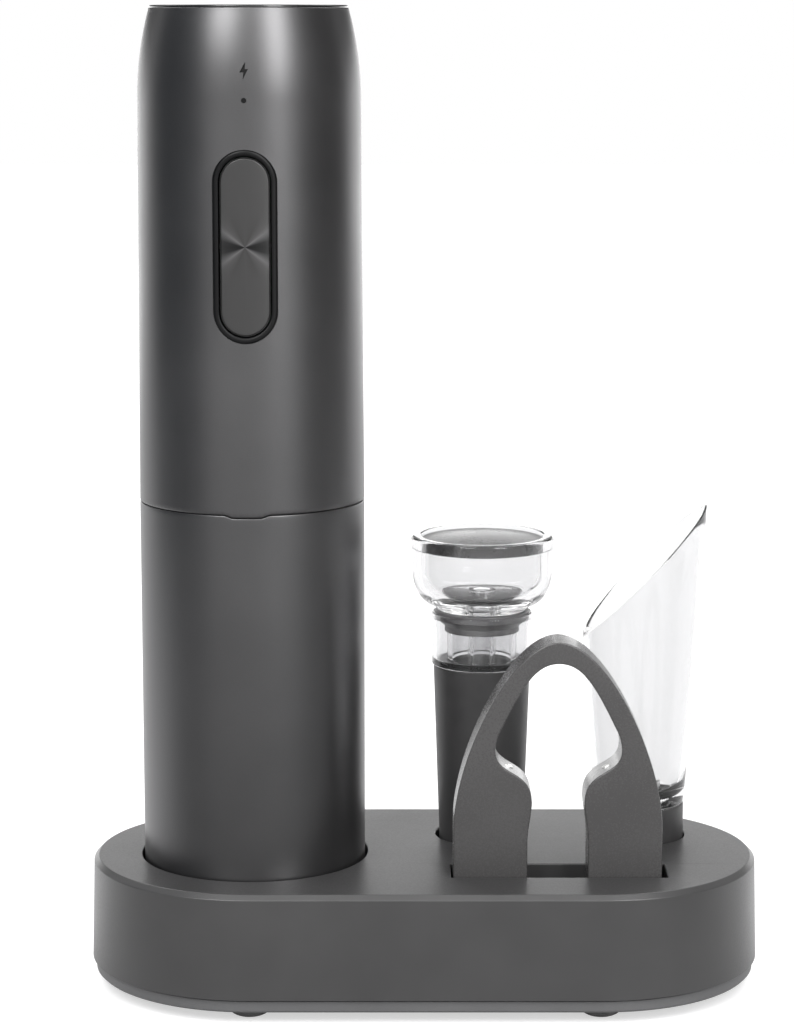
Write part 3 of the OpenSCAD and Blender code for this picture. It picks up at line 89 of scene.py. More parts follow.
class Tree:
    """A node tree being filled. add() makes any node: its settings come first, then its sockets' values or links."""

    def __init__(self, tree):
        self.tree = tree

    def plug(self, socket, value):
        if isinstance(value, Wire):
            self.tree.links.new(value.socket, socket)
        else:
            socket.default_value = value

    def add(self, kind, sockets=(), output=0, stops=(), **settings):
        node = self.tree.nodes.new(kind)
        for name, value in settings.items():
            setattr(node, name, value)
        for i, (place, color) in enumerate(stops):
            ramp = node.color_ramp.elements
            stop = ramp[i] if i < len(ramp) else ramp.new(place)
            stop.position, stop.color = place, color
        pairs = sockets.items() if isinstance(sockets, dict) else enumerate(sockets)
        for key, value in pairs:
            if value is not None:
                self.plug(node.inputs[key], value)
        return Wire(self, node.outputs[output])

    def mix(self, factor, first, second):
        """Goes from the first colour to the second."""
        return self.add("ShaderNodeMix", {0: factor, 6: first, 7: second}, output=2, data_type="RGBA")

    def ease(self, value, start, end, low=0.0, high=1.0):
        """Maps start..end to low..high with a soft beginning and end."""
        return self.add("ShaderNodeMapRange", (value, start, end, low, high), interpolation_type="SMOOTHSTEP")

    def axes(self, vector):
        """A vector's x, y and z."""
        split = self.add("ShaderNodeSeparateXYZ", (vector,))
        return [split.twin(i) for i in range(3)]

    def light_path(self):
        """Whether a ray comes from the camera, off a glossy surface, through a clear one."""
        camera_ray = self.add("ShaderNodeLightPath", output="Is Camera Ray")
        return camera_ray, camera_ray.twin("Is Glossy Ray"), camera_ray.twin("Is Transmission Ray")


class Finish(Tree):
    """A material with one Principled shader. Its sockets take numbers, colours or wires by name."""

    def __init__(self, name, **sockets):
        self.material = bpy.data.materials.new(name)
        self.material.use_nodes = True
        super().__init__(self.material.node_tree)
        self.set(**sockets)
        self.spot = self.add("ShaderNodeTexCoord", output="Object")

    def set(self, **sockets):
        shader = self.tree.nodes["Principled BSDF"]
        for name, value in sockets.items():
            self.plug(shader.inputs[name.replace("_", " ")], value)
        return self.material

    def noise(self, size, detail, stretch=None):
        """Noise from 0 to 1 whose blotches measure about `size` millimetres."""
        where = self.add("ShaderNodeMapping", {"Vector": self.spot, "Scale": stretch}) if stretch else self.spot
        return self.add("ShaderNodeTexNoise", {"Vector": where, "Scale": 1000 / size, "Detail": detail})

    def level(self, value, low, high, start=0.0, end=1.0):
        """Maps a wire from start..end to low..high and stays within them."""
        return self.add("ShaderNodeMapRange", (value, start, end, low, high))

    def shades(self, factor, color, low, high):
        """Goes from `low` times a colour to `high` times it."""
        return self.mix(factor, *([c * share for c in color] + [1] for share in (low, high)))

    def bump(self, height, strength, depth, under=None):
        """Raises the surface by up to `depth` millimetres."""
        return self.add("ShaderNodeBump", {"Strength": strength, "Distance": depth * MM, "Height": height,
                                           "Normal": under})


def stage_plane(name, width, depth, place, turn, finish):
    """A flat panel of the studio, turned about its own middle."""
    mesh = bpy.data.meshes.new(name)
    w, d = width / 2, depth / 2
    mesh.from_pydata([(-w, -d, 0), (w, -d, 0), (w, d, 0), (-w, d, 0)], [], [(0, 1, 2, 3)])
    mesh.materials.append(finish.material)
    panel = bpy.data.objects.new(name, mesh)
    panel.location, panel.rotation_euler = place, turn
    scene.collection.objects.link(panel)
    return panel


# The table is pale paper. For the camera, and in part for glossy and clear pieces, it also glows, a little near the
# object and fully far from it, so that it runs into the white behind. Its colour is darker in what the camera and
# clear pieces see of it, and in what glossy pieces see of it in front of the object.
WHITE, BLACK, TABLE_COLOR = (1, 1, 1, 1), (0, 0, 0, 1), (0.78, 0.78, 0.785, 1)
NEAR_GLOW, FAR_GLOW = 0.36, 0.64
paper = Finish("table_paper", Roughness=0.9, Specular_IOR_Level=0, Emission_Color=WHITE)
seen, glossy, through = paper.light_path()
mirrored = glossy * (1 - through)
distance = paper.add("ShaderNodeVectorMath", (paper.spot,), output="Value", operation="LENGTH")
far = paper.ease(distance, 0.15, 1.2)
front = paper.ease(paper.axes(paper.spot)[1], 0.06, -0.1)
glow = far * (FAR_GLOW - NEAR_GLOW) + NEAR_GLOW
dim = mirrored * (1 - far) * front * 0.85 + through * 0.35 + seen * 0.3
paper.set(Emission_Strength=(seen + through + mirrored * 0.25) * glow + seen * 0.22,
          Base_Color=paper.mix(dim, TABLE_COLOR, BLACK))
stage_plane("table", 8, 8, (0, 0, 0), (0, 0, 0), paper)


def reflected(name, width, depth, place, turn, color, strength=0):
    """A matt panel, glowing or not, that only the glossy pieces see."""
    matt = Finish(name, Base_Color=(*color, 1), Specular_IOR_Level=0, Emission_Color=WHITE, Emission_Strength=strength)
    panel = stage_plane(name, width, depth, place, turn, matt)
    panel.visible_camera = panel.visible_diffuse = panel.visible_shadow = panel.visible_transmission = False


# The flags hang on both sides, the left one a little blue. The boards stand one above the other.
FLAG_X, FLAG_H, BOARD_Y, BOARD_W = 0.62, 1.6, 1.1, 3.2
for name, x, near_y, far_y, color in (("flag_left", -FLAG_X, -0.62, 0.2, (0.022, 0.032, 0.045)),
                                      ("flag_right", FLAG_X, -0.5, 0.32, (0.03, 0.028, 0.029))):
    reflected(name, FLAG_H, far_y - near_y, (x, (near_y + far_y) / 2, 0.45), (0, pi / 2, 0), color)
for name, low_z, high_z, grey, strength in (("white_board", 0, 0.3, 0.8, 1.7), ("dark_board", 0.3, 1.0, 0.1, 0)):
    reflected(name, BOARD_W, high_z - low_z, (0, BOARD_Y, (low_z + high_z) / 2), (pi / 2, 0, 0), [grey] * 3, strength)

SKY_LIGHT, SKY_GLOSS = 0.5, 0.3
world = bpy.data.worlds.new("sky")
scene.world = world
world.use_nodes = True
sky = Tree(world.node_tree)
seen, glossy, through = sky.light_path()
backdrop = sky.tree.nodes["Background"].inputs
sky.plug(backdrop["Color"], WHITE)
sky.plug(backdrop["Strength"], (seen + through) * (1 - SKY_LIGHT) + glossy * (1 - through) * SKY_GLOSS + SKY_LIGHT)


def soft_box(name, place, width, height, power):
    """A lamp with a soft front, turned to the middle of the object."""
    lamp = bpy.data.objects.new(name, bpy.data.lights.new(name, "AREA"))
    lamp.data.shape = "RECTANGLE"
    lamp.data.size, lamp.data.size_y, lamp.data.energy = width, height, power
    lamp.location = place
    lamp.rotation_euler = (Vector((0, 0, 0.1)) - Vector(place)).to_track_quat("-Z", "Y").to_euler()
    lamp.visible_camera = False
    scene.collection.objects.link(lamp)


soft_box("front_left", (-0.42, -0.75, 0.85), 0.45, 0.7, 10)
soft_box("front_right", (0.45, -0.75, 0.72), 0.32, 1.0, 11)
soft_box("back_top", (0, 0.55, 1.0), 1.6, 0.5, 10)

# -------------------- stand shell
# One moulding of dark ABS with a fine satin grain: top face, side wall with a little draft, and the four wells.
# It stands open side down on its bottom plate. Its top edge has a narrow bevel, broken at both sides.

def solid_box(node):
    """The low and the high corner of a CAD solid, in millimetres."""
    return [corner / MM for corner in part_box(node)]


STAND_LOW, STAND_HIGH = solid_box("base_shell")
DECK_Z, SHELL_Z = STAND_HIGH.z, STAND_LOW.z
FOOT_LINE_R = STAND_HIGH.y
END_X = STAND_HIGH.x - FOOT_LINE_R
RIM_R = FOOT_LINE_R - 0.6
WALL, DECK_T, BEVEL, WELL_WALL = 2.4, 3.0, 1.1, 2.0
GROOVE_R, GROOVE_Z = FOOT_LINE_R - 1.9, SHELL_Z + 0.35
OPENER_X = -END_X
OPENER_HOLE_R, OPENER_SEAT_Z = 25.6, DECK_Z - 20
PLUG_LOW, PLUG_HIGH = solid_box("stopper_plug")
COLLAR_LOW, COLLAR_HIGH = solid_box("pourer_collar")
CUTTER_LOW, CUTTER_HIGH = solid_box("cutter_body")
STOPPER = (PLUG_LOW + PLUG_HIGH) / 2
POURER = (COLLAR_LOW + COLLAR_HIGH) / 2
CUTTER = (CUTTER_LOW + CUTTER_HIGH) / 2
SMALL_HOLE_R, SMALL_SEAT_Z, SLOT_SEAT_Z = 10.6, PLUG_LOW.z, CUTTER_LOW.z
SLOT_PLAY_X, SLOT_PLAY_Y = 0.9, 0.4
SLOT_HALF_X, SLOT_HALF_Y = CUTTER_HIGH.x - CUTTER.x + SLOT_PLAY_X, CUTTER_HIGH.y - CUTTER.y + SLOT_PLAY_Y
SLOT_X = CUTTER.x + SLOT_PLAY_X / 2


def rounded(corners, steps=5):
    """A closed line through corners (x, y, radius), each corner turned into an arc of its radius."""
    line = []
    for before, (x, y, radius), after in zip(corners[-1:] + corners[:-1], corners, corners[1:] + corners[:1]):
        if not radius:
            line.append((x, y))
            continue
        corner = Vector((x, y))
        back, on = ((Vector(p[:2]) - corner).normalized() for p in (before, after))
        half = back.angle(on) / 2
        middle = corner + (back + on).normalized() * (radius / sin(half))
        start, end = (corner + d * (radius / tan(half)) - middle for d in (back, on))
        bend = start.angle(end)
        for i in range(steps + 1):
            t = i / steps
            p = middle + (start * sin((1 - t) * bend) + end * sin(t * bend)) / sin(bend)
            line.append((p.x, p.y))
    return line


def half_circles(reach, radius, first, steps):
    """Two half circles as (shift, x, y), from a first angle on. The shifts set them a reach to either side."""
    return [(side * reach, radius * cos(a), radius * sin(a)) for side, start in ((1, first), (-1, first + 180))
            for a in (radians(start + 180 * i / steps) for i in range(steps + 1))]


def oblong(radius, z):
    """The stand's plan at one height: two half circles with straight sides between them."""
    return [(shift + x, y, z) for shift, x, y in half_circles(END_X, radius, -90, 80)]


def circle(at, radius, z, sides=128):
    return [(at[0] + radius * cos(a), at[1] + radius * sin(a), z) for a in (2 * pi * i / sides for i in range(sides))]


def slot_hole(grow, z):
    w, d, corner = SLOT_HALF_X + grow, SLOT_HALF_Y + grow, 0.5 + grow
    line = rounded([(-w, -d, corner), (w, -d, corner), (w, d, corner), (-w, d, corner)], 6)
    return [(SLOT_X + x, CUTTER.y + y, z) for x, y in line]


class Skin:
    """Points and faces of one closed skin, in millimetres. Rings are lists of point numbers."""

    def __init__(self):
        self.points, self.faces, self.inks, self.ink = [], [], [], 0

    def face(self, numbers):
        """Adds a face with the ink, the place in the list of materials, that is in use."""
        self.faces.append(numbers)
        self.inks.append(self.ink)

    def ring(self, points):
        first = len(self.points)
        self.points += points
        return list(range(first, len(self.points)))

    def band(self, low, high):
        """Faces between two closed rings of the same length."""
        for i in range(len(low)):
            j = (i + 1) % len(low)
            corners = list(dict.fromkeys((low[i], low[j], high[j], high[i])))
            if len(corners) > 2:
                self.face(corners)

    def bands(self, rings, closed=False):
        """Adds rings and joins each to the next, and the last to the first if the row is closed."""
        rings = [self.ring(ring) for ring in rings]
        for low, high in zip(rings, rings[1:] + rings[:1] * closed):
            self.band(low, high)
        return rings

    def flat(self, *rings):
        """Fills the first ring and leaves the others open as holes."""
        numbers = [n for ring in rings for n in ring]
        loops = [[Vector(self.points[n]) for n in ring] for ring in rings]
        for corners in geometry.tessellate_polygon(loops):
            self.face([numbers[i] for i in corners])

    def piece(self, name, *materials, sharp=35):
        """The skin as an object at the origin, faces outwards, smooth up to the angle `sharp`."""
        mesh = bpy.data.meshes.new(name)
        bm = bmesh.new()
        points = [bm.verts.new(Vector(p) * MM) for p in self.points]
        for numbers, ink in zip(self.faces, self.inks):
            bm.faces.new([points[n] for n in numbers]).material_index = ink
        bmesh.ops.remove_doubles(bm, verts=bm.verts, dist=2e-6)
        bmesh.ops.recalc_face_normals(bm, faces=bm.faces)
        bm.to_mesh(mesh)
        bm.free()
        mesh.shade_smooth()
        mesh.set_sharp_from_angle(angle=radians(sharp))
        for material in materials:
            mesh.materials.append(material)
        piece = bpy.data.objects.new(name, mesh)
        scene.collection.objects.link(piece)
        piece.modifiers.new("even_normals", "WEIGHTED_NORMAL").keep_sharp = True
        return piece


def stand_in(piece, body, slot, *nodes):
    """Lets a piece stand for CAD nodes and ride on a body."""
    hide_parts(*nodes)
    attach(piece, body)


def grained_plastic(name, color, roughness, grain=0.35, depth=0.02, **sockets):
    """Moulded plastic from a fine-blasted mould: even grain, faint flow clouds and slightly uneven gloss."""
    finish = Finish(name, **sockets)
    clouds, fine = finish.noise(18, 3), finish.noise(grain, 2)
    return finish.set(
        Base_Color=finish.shades(finish.level(clouds, 0, 1, 0.3, 0.7), color, 0.93, 1.07),
        Roughness=finish.level(fine * 0.6 + clouds * 0.4, roughness - 0.05, roughness + 0.05, 0.35, 0.65),
        Normal=finish.bump(fine, 0.35, depth))


stand_plastic = grained_plastic("stand_plastic", (0.04, 0.0395, 0.04), 0.36)
shell = Skin()
outside = rounded([(FOOT_LINE_R - WALL, SHELL_Z, 0), (GROOVE_R, SHELL_Z, 0), (GROOVE_R, GROOVE_Z, 0),
                   (FOOT_LINE_R, GROOVE_Z, 0.15), (RIM_R, DECK_Z - BEVEL, 0.4), (RIM_R - BEVEL, DECK_Z, 0.35),
                   (0, DECK_Z, 0)], 5)[:-1]
rim = shell.bands([oblong(r, z) for r, z in outside])
inside = rounded([(FOOT_LINE_R - WALL, SHELL_Z, 0), (RIM_R - WALL, DECK_Z - DECK_T, 1),
                  (0, DECK_Z - DECK_T, 0)])[:-1]
room = shell.bands([oblong(r, z) for r, z in inside])
wells = ((lambda grow, z: circle((OPENER_X, 0), OPENER_HOLE_R + grow, z, 192), OPENER_SEAT_Z),
         (lambda grow, z: circle(STOPPER, SMALL_HOLE_R + grow, z), SMALL_SEAT_Z),
         (lambda grow, z: circle(POURER, SMALL_HOLE_R + grow, z), SMALL_SEAT_Z), (slot_hole, SLOT_SEAT_Z))
mouths, undersides = [], []
for hole, seat_z in wells:
    lip = rounded([(2, DECK_Z, 0), (0, DECK_Z, 0.35), (0, seat_z, 0.4), (-2, seat_z, 0)], 4)
    cup = rounded([(WELL_WALL + 1, DECK_Z - DECK_T, 0), (WELL_WALL, DECK_Z - DECK_T, 0.8),
                   (WELL_WALL, seat_z - WELL_WALL, 0.6), (-1, seat_z - WELL_WALL, 0)], 3)
    for line, openings in ((lip, mouths), (cup, undersides)):
        rings = shell.bands([hole(grow, z) for grow, z in line[1:-1]])
        openings.append(rings[0])
        shell.flat(rings[-1])
shell.flat(rim[-1], *mouths)
shell.flat(room[-1], *undersides)
stand_in(shell.piece("stand_shell", stand_plastic), "stand", "stand_plastic", "base_shell")

# -------------------- bottom plate, feet and screws
# The plate is a flat moulding that closes the stand from below and carries the screws' sunk heads.
# Four flattened rubber domes are glued into its round recesses and lift it off the table.

def dressed(finish, *nodes):
    """Gives solids that keep their own shape their finish."""
    for node in nodes:
        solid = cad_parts[node]
        solid.data.materials.clear()
        solid.data.materials.append(finish)


dressed(grained_plastic("plate_plastic", (0.086, 0.086, 0.088), 0.45), "base_bottom_plate")


def rubber(name, color, roughness=0.62, dusty=1.7):
    """Moulded rubber: dull, with dusty patches and a faintly pebbled skin."""
    finish = Finish(name)
    dust, pebbles = finish.noise(3, 4), finish.noise(0.5, 2)
    pale = [c * dusty + 0.01 * (dusty - 1) for c in color]
    return finish.set(Base_Color=finish.mix(finish.level(dust, 0, 1, 0.35, 0.8), (*color, 1), (*pale, 1)),
                      Roughness=finish.level(dust, roughness - 0.08, roughness + 0.1),
                      Normal=finish.bump(pebbles, 0.4, 0.03))


def machined_steel(name, color, roughness, axis=(1, 1, 0.04), scratch=0.3):
    """Turned or drawn steel: fine lines from the tool, stretched by `axis`, and a little uneven gloss."""
    finish = Finish(name, Metallic=1.0)
    lines, stain = finish.noise(scratch, 3, axis), finish.noise(4, 3)
    return finish.set(
        Base_Color=finish.shades(stain, color, 0.88, 1.05),
        Roughness=finish.level(lines * 0.6 + stain * 0.4, roughness - 0.08, roughness + 0.12, 0.3, 0.7),
        Normal=finish.bump(lines, 0.25, 0.01))


class Maker(Tree):
    """A Geometry Nodes tree with named inputs that makes one kind of piece."""

    KINDS = {float: "NodeSocketFloat", int: "NodeSocketInt", bpy.types.Material: "NodeSocketMaterial"}

    def __init__(self, name, **inputs):
        super().__init__(bpy.data.node_groups.new(name, "GeometryNodeTree"))
        self.tree.interface.new_socket("Geometry", in_out="INPUT", socket_type="NodeSocketGeometry")
        self.tree.interface.new_socket("Geometry", in_out="OUTPUT", socket_type="NodeSocketGeometry")
        self.values = inputs
        for key, value in inputs.items():
            self.tree.interface.new_socket(key, in_out="INPUT", socket_type=self.KINDS[type(value)])
        self.entry = self.tree.nodes.new("NodeGroupInput")
        self.exit = self.tree.nodes.new("NodeGroupOutput")

    def given(self, key):
        return Wire(self, self.entry.outputs[key])

    def close(self, shape):
        """Real geometry with its material set, smooth shaded."""
        real = self.add("GeometryNodeRealizeInstances", (shape,))
        smooth = self.add("GeometryNodeSetShadeSmooth", (real,))
        coated = self.add("GeometryNodeSetMaterial", {"Geometry": smooth, "Material": self.given("finish")})
        self.plug(self.exit.inputs[0], coated)

    def make(self, name, points=((0, 0, 0),), edges=()):
        """Runs the tree on an object's points and keeps the result as a plain mesh."""
        seed = bpy.data.meshes.new(name)
        seed.from_pydata([Vector(p) * MM for p in points], edges, [])
        piece = bpy.data.objects.new(name, seed)
        scene.collection.objects.link(piece)
        step = piece.modifiers.new(name, "NODES")
        step.node_group = self.tree
        for socket in self.tree.interface.items_tree:
            if socket.in_out == "INPUT" and socket.name in self.values:
                value = self.values[socket.name]
                step[socket.identifier] = value * MM if isinstance(value, float) else value
        bpy.context.view_layer.update()
        depsgraph = bpy.context.evaluated_depsgraph_get()
        mesh = bpy.data.meshes.new_from_object(piece.evaluated_get(depsgraph), depsgraph=depsgraph)
        piece.modifiers.clear()
        piece.data = mesh
        return piece


FOOT_HIGH = solid_box("rubber_feet")[1]
DOME_R = 5.0
feet = Maker("domed_feet", radius=DOME_R, height=FOOT_HIGH.z, finish=rubber("foot_rubber", (0.05, 0.05, 0.05)))
ball = feet.add("GeometryNodeMeshUVSphere", {"Segments": 48, "Rings": 24, "Radius": 1.0})
x, y, z = feet.axes(feet.add("GeometryNodeInputPosition"))
flattened = 1 - (z * -1).math("MAXIMUM", 0.0).math("POWER", 0.6)
radius, height = feet.given("radius"), feet.given("height")
domed = feet.add("ShaderNodeCombineXYZ", (x * radius, y * radius, flattened * height))
dome = feet.add("GeometryNodeSetPosition", {"Geometry": ball, "Position": domed})
feet.close(feet.add("GeometryNodeInstanceOnPoints", {"Points": feet.given("Geometry"), "Instance": dome}))
foot_spots = [(sx * END_X, sy * (FOOT_HIGH.y - DOME_R), 0) for sx in (-1, 1) for sy in (-1, 1)]
stand_in(feet.make("stand_feet", foot_spots), "stand", "black_rubber", "rubber_feet")

screw_steel = machined_steel("screw_steel", (0.42, 0.42, 0.43), 0.3, (1, 1, 1))
dressed(screw_steel, "base_screws")

# -------------------- lower sleeve and bottle guide
# A drawn tube with the same satin metallic paint as the housing. It slips over the drive unit's spigot, stands in
# the stand's well, and has a shallow notch in its upper edge for the housing's tab. A black guide is pressed in.

SLEEVE_LOW, SLEEVE_HIGH = solid_box("lower_sleeve")
BODY_R = (SLEEVE_HIGH.x - SLEEVE_LOW.x) / 2
SEAM_Z = SLEEVE_HIGH.z
SLEEVE_WALL, SLEEVE_TOP = 1.8, SEAM_Z - 0.06
TAB_HALF, TAB_RAMP, TAB_H, TAB_FADE = 2.9, 2.2, 0.6, 2.5


def satin_paint(name, color, roughness):
    """Satin paint with metal flake: even sparkle, an orange-peel skin too fine to see, faint cloudiness."""
    finish = Finish(name, Metallic=0.92)
    flake, peel, clouds = finish.noise(0.12, 1), finish.noise(0.9, 2), finish.noise(25, 3)
    both = flake * 0.5 + clouds * 0.5
    return finish.set(
        Base_Color=finish.shades(finish.level(both, 0, 1, 0.3, 0.7), color, 0.9, 1.1),
        Roughness=finish.level(both, roughness - 0.03, roughness + 0.03, 0.35, 0.65),
        Normal=finish.bump(flake, 0.12, 0.01, finish.bump(peel, 0.1, 0.01)))


body_satin = satin_paint("body_satin", (0.108, 0.107, 0.109), 0.37)
sleeve = Maker("tube_with_notch", radius=BODY_R, notch_half=TAB_HALF, ramp=TAB_RAMP, notch_depth=TAB_H,
               fade=TAB_FADE, top=SEAM_Z, sides=320, finish=body_satin)
path = sleeve.add("GeometryNodeCurvePrimitiveCircle",
                  {"Resolution": sleeve.given("sides"), "Radius": sleeve.given("radius")})
section = sleeve.add("GeometryNodeMeshToCurve", (sleeve.given("Geometry"),))
tube = sleeve.add("GeometryNodeCurveToMesh", {"Curve": path, "Profile Curve": section})
x, y, z = sleeve.axes(sleeve.add("GeometryNodeInputPosition"))

# The seam's edge drops in front, behind the tab, and the drop fades out away from the edge
half, ramp, depth, fade, top = (sleeve.given(k) for k in ("notch_half", "ramp", "notch_depth", "fade", "top"))
across = sleeve.ease(x.math("ABSOLUTE"), half, half + ramp, 1.0, 0.0)
near = sleeve.ease((z - top).math("ABSOLUTE"), 0.0, fade, 1.0, 0.0)
dip = across * near * y.math("LESS_THAN", 0.0) * depth
down = sleeve.add("ShaderNodeCombineXYZ", (0.0, 0.0, dip * -1))
notched = sleeve.add("GeometryNodeSetPosition", {"Geometry": tube, "Offset": down})
sleeve.close(sleeve.add("GeometryNodeTransform", {"Geometry": notched, "Translation": (OPENER_X * MM, 0, 0)}))
sleeve_section = rounded([(-SLEEVE_WALL, SLEEVE_LOW.z, 0.2), (0, SLEEVE_LOW.z, 0.6), (0, SLEEVE_TOP, 0.28),
                          (-SLEEVE_WALL, SLEEVE_TOP, 0.15)], 5)
sleeve_section[12:12] = [(0, z) for z in (SLEEVE_LOW.z + 4, SEAM_Z - 6, SEAM_Z - 2.2, SEAM_Z - 1.2)]
sleeve_tube = sleeve.make("sleeve_tube", [(r, -z, 0) for r, z in sleeve_section],
                          [(i, (i + 1) % len(sleeve_section)) for i in range(len(sleeve_section))])
stand_in(sleeve_tube, "sleeve", "body_satin", "lower_sleeve")
dark_plastic = grained_plastic("dark_plastic", (0.03, 0.03, 0.031), 0.42)
dressed(dark_plastic, "neck_guide")

# -------------------- upper housing
# A die-cast tube that tapers a little and curves in at the shoulder, painted satin metallic. It is cut out for the
# button in front and the charging port behind, drilled for the lamp, and has a small bolt engraved above it.

TOP_Z = solid_box("upper_housing")[1].z
HOUSING_WALL = 2.7
SHOULDER_H, NECK_R, TOP_R = 19.8, 24.45, 21.75
SHOULDER_Z = TOP_Z - SHOULDER_H
SHOULDER_R = (SHOULDER_H ** 2 + (NECK_R - TOP_R) ** 2) / (2 * (NECK_R - TOP_R))
BEZEL_LOW, BEZEL_HIGH = solid_box("button_bezel")
BEZEL_W, BEZEL_L = BEZEL_HIGH.x - BEZEL_LOW.x, BEZEL_HIGH.z - BEZEL_LOW.z
BUTTON_Z = (BEZEL_HIGH.z + BEZEL_LOW.z) / 2
LAMP_Z, LAMP_R = sum(corner.z for corner in solid_box("lamp_window")) / 2, 0.55
PORT_Z, PORT_W, PORT_H = sum(corner.z for corner in solid_box("usb_socket")) / 2, 9.5, 3.8
MARK_Z, MARK_H, MARK_DEPTH, LINE_STEP = SEAM_Z + 92.8, 3.8, 0.3, 0.3


def housing_r(z):
    """Radius of the housing at a height."""
    if z > SHOULDER_Z:
        return NECK_R - SHOULDER_R + sqrt(SHOULDER_R ** 2 - (z - SHOULDER_Z) ** 2)
    return BODY_R - (BODY_R - NECK_R) * (z - SEAM_Z) / (SHOULDER_Z - SEAM_Z)


def round_bar(width, length, middle_z, steps=24):
    """An upright line with round ends, as (x, z) across the front."""
    return [(x, middle_z + shift + y) for shift, x, y in half_circles((length - width) / 2, width / 2, 0, steps)]


def inside_loop(loop, u, v):
    """Whether a point lies within a closed line."""
    odd = False
    for (u0, v0), (u1, v1) in zip(loop, loop[1:] + loop[:1]):
        if (v0 > v) != (v1 > v) and u < (u1 - u0) * (v - v0) / (v1 - v0) + u0:
            odd = not odd
    return odd


def wall_y(x, z, inset=0):
    """How far the wall, moved inwards by an inset, is from the middle plane at a place seen square on."""
    return sqrt((housing_r(z) - inset) ** 2 - x * x)


def unrolled(x, z, back=False):
    """Turns a place on the front or back, seen square on, into (angle from the left side, height)."""
    a = asin(x / housing_r(z))
    return (pi * 1.5 + a if back else pi / 2 + a, z)


def housing_point(x, z, depth, back=False):
    """A place on the front or back of the housing, seen square on, sunk by a depth."""
    y = wall_y(x, z) - depth
    return (OPENER_X + x, y if back else -y, z)


def finely(loop):
    """The same closed line with no stretch longer than LINE_STEP."""
    line = []
    for a, b in zip(loop, loop[1:] + loop[:1]):
        parts = max(1, ceil(dist(a, b) / LINE_STEP))
        line += [(a[0] + (b[0] - a[0]) * i / parts, a[1] + (b[1] - a[1]) * i / parts) for i in range(parts)]
    return line


# Cuts as closed lines seen square on, each for how far it has grown; then the rounding of its edge
bolt = [(-0.2, 0), (-0.05, 1.65), (-0.95, 1.6), (0.35, 4), (0.3, 2.35), (1, 2.4)]
bolt = finely([(x * MARK_H / 4, MARK_Z + z * MARK_H / 4) for x, z in bolt])
cuts = {
    "button": (lambda grow: round_bar(BEZEL_W + 2 * grow, BEZEL_L + 2 * grow, BUTTON_Z), 0.12, False),
    "lamp": (lambda grow: [place[:2] for place in circle((0, LAMP_Z), LAMP_R + grow, 0, 24)], 0.04, False),
    "port": (lambda grow: [(x, PORT_Z + z) for z, x in round_bar(PORT_H + 2 * grow, PORT_W + 2 * grow, 0, 10)],
             0.3, True),
    "bolt": (lambda grow: bolt, 0, False),
}

# The wall is laid out flat as (angle, height), cut, filled with a fine mesh and bent round again
SIDES, STRAIGHT_ROWS, SHOULDER_ROWS = 240, 28, 18
low_z, high_z, first_z = SEAM_Z + 0.4, TOP_Z - 0.3, SEAM_Z + 4.6
heights = [low_z + step for step in (0, 0.8, 1.7)]
heights += [first_z + (SHOULDER_Z - first_z) * i / STRAIGHT_ROWS for i in range(STRAIGHT_ROWS + 1)]
heights += [SHOULDER_Z + (high_z - SHOULDER_Z) * i / SHOULDER_ROWS for i in range(1, SHOULDER_ROWS + 1)]
flat, fixed, edges, loops = [], [], {}, {}


def lay(name, line, closed=False):
    """Adds a fixed line to the flat wall and remembers its points."""
    edges[name] = list(range(len(flat), len(flat) + len(line)))
    flat.extend(line)
    fixed.extend(zip(edges[name], edges[name][1:]))
    if closed:
        fixed.append((edges[name][-1], edges[name][0]))


around = [2 * pi * i / SIDES for i in range(SIDES + 1)]
lay("low", [(a, low_z) for a in around])
lay("high", [(a, high_z) for a in around])
for end, a in (("left", 0), ("right", 2 * pi)):
    lay(end, [(a, z) for z in heights[1:-1]])
    corner = 0 if end == "left" else -1
    fixed += [(edges["low"][corner], edges[end][0]), (edges[end][-1], edges["high"][corner])]
for name, (shape, ease, back) in cuts.items():
    loops[name] = [unrolled(x, z, back) for x, z in shape(ease)]
    lay(name, loops[name], True)
near_cuts = [point for loop in loops.values() for point in loop]
for row, z in enumerate(heights[1:-1]):
    for i in range(1, SIDES // 2):
        a = 4 * pi * (i + 0.5 * (row % 2)) / SIDES
        if a < 2 * pi - 0.02 and all(hypot((a - ca) * BODY_R, z - cz) > 0.6 for ca, cz in near_cuts):
            flat.append((a, z))
laid, _, sheets, *_ = geometry.delaunay_2d_cdt([Vector((a * BODY_R, z)) for a, z in flat], fixed, [], 0, 1e-5)


def smooth(t):
    t = min(1, max(0, t))
    return t * t * (3 - 2 * t)


def seam_drop(x, y, z):
    """The housing's own share of the seam's dip: its tab."""
    across = 1 - smooth((abs(x) - TAB_HALF) / TAB_RAMP)
    return TAB_H * across * (1 - smooth(abs(z - SEAM_Z) / TAB_FADE)) if y < 0 else 0


def bent(a, z, inset=0.0, wide_as=None):
    """A place of the flat wall bent round, moved inwards by an inset, and as wide as the wall at some height."""
    r = housing_r(wide_as or z) - inset
    x, y = -r * cos(a), -r * sin(a)
    return (OPENER_X + x, y, z - seam_drop(x, y, z))


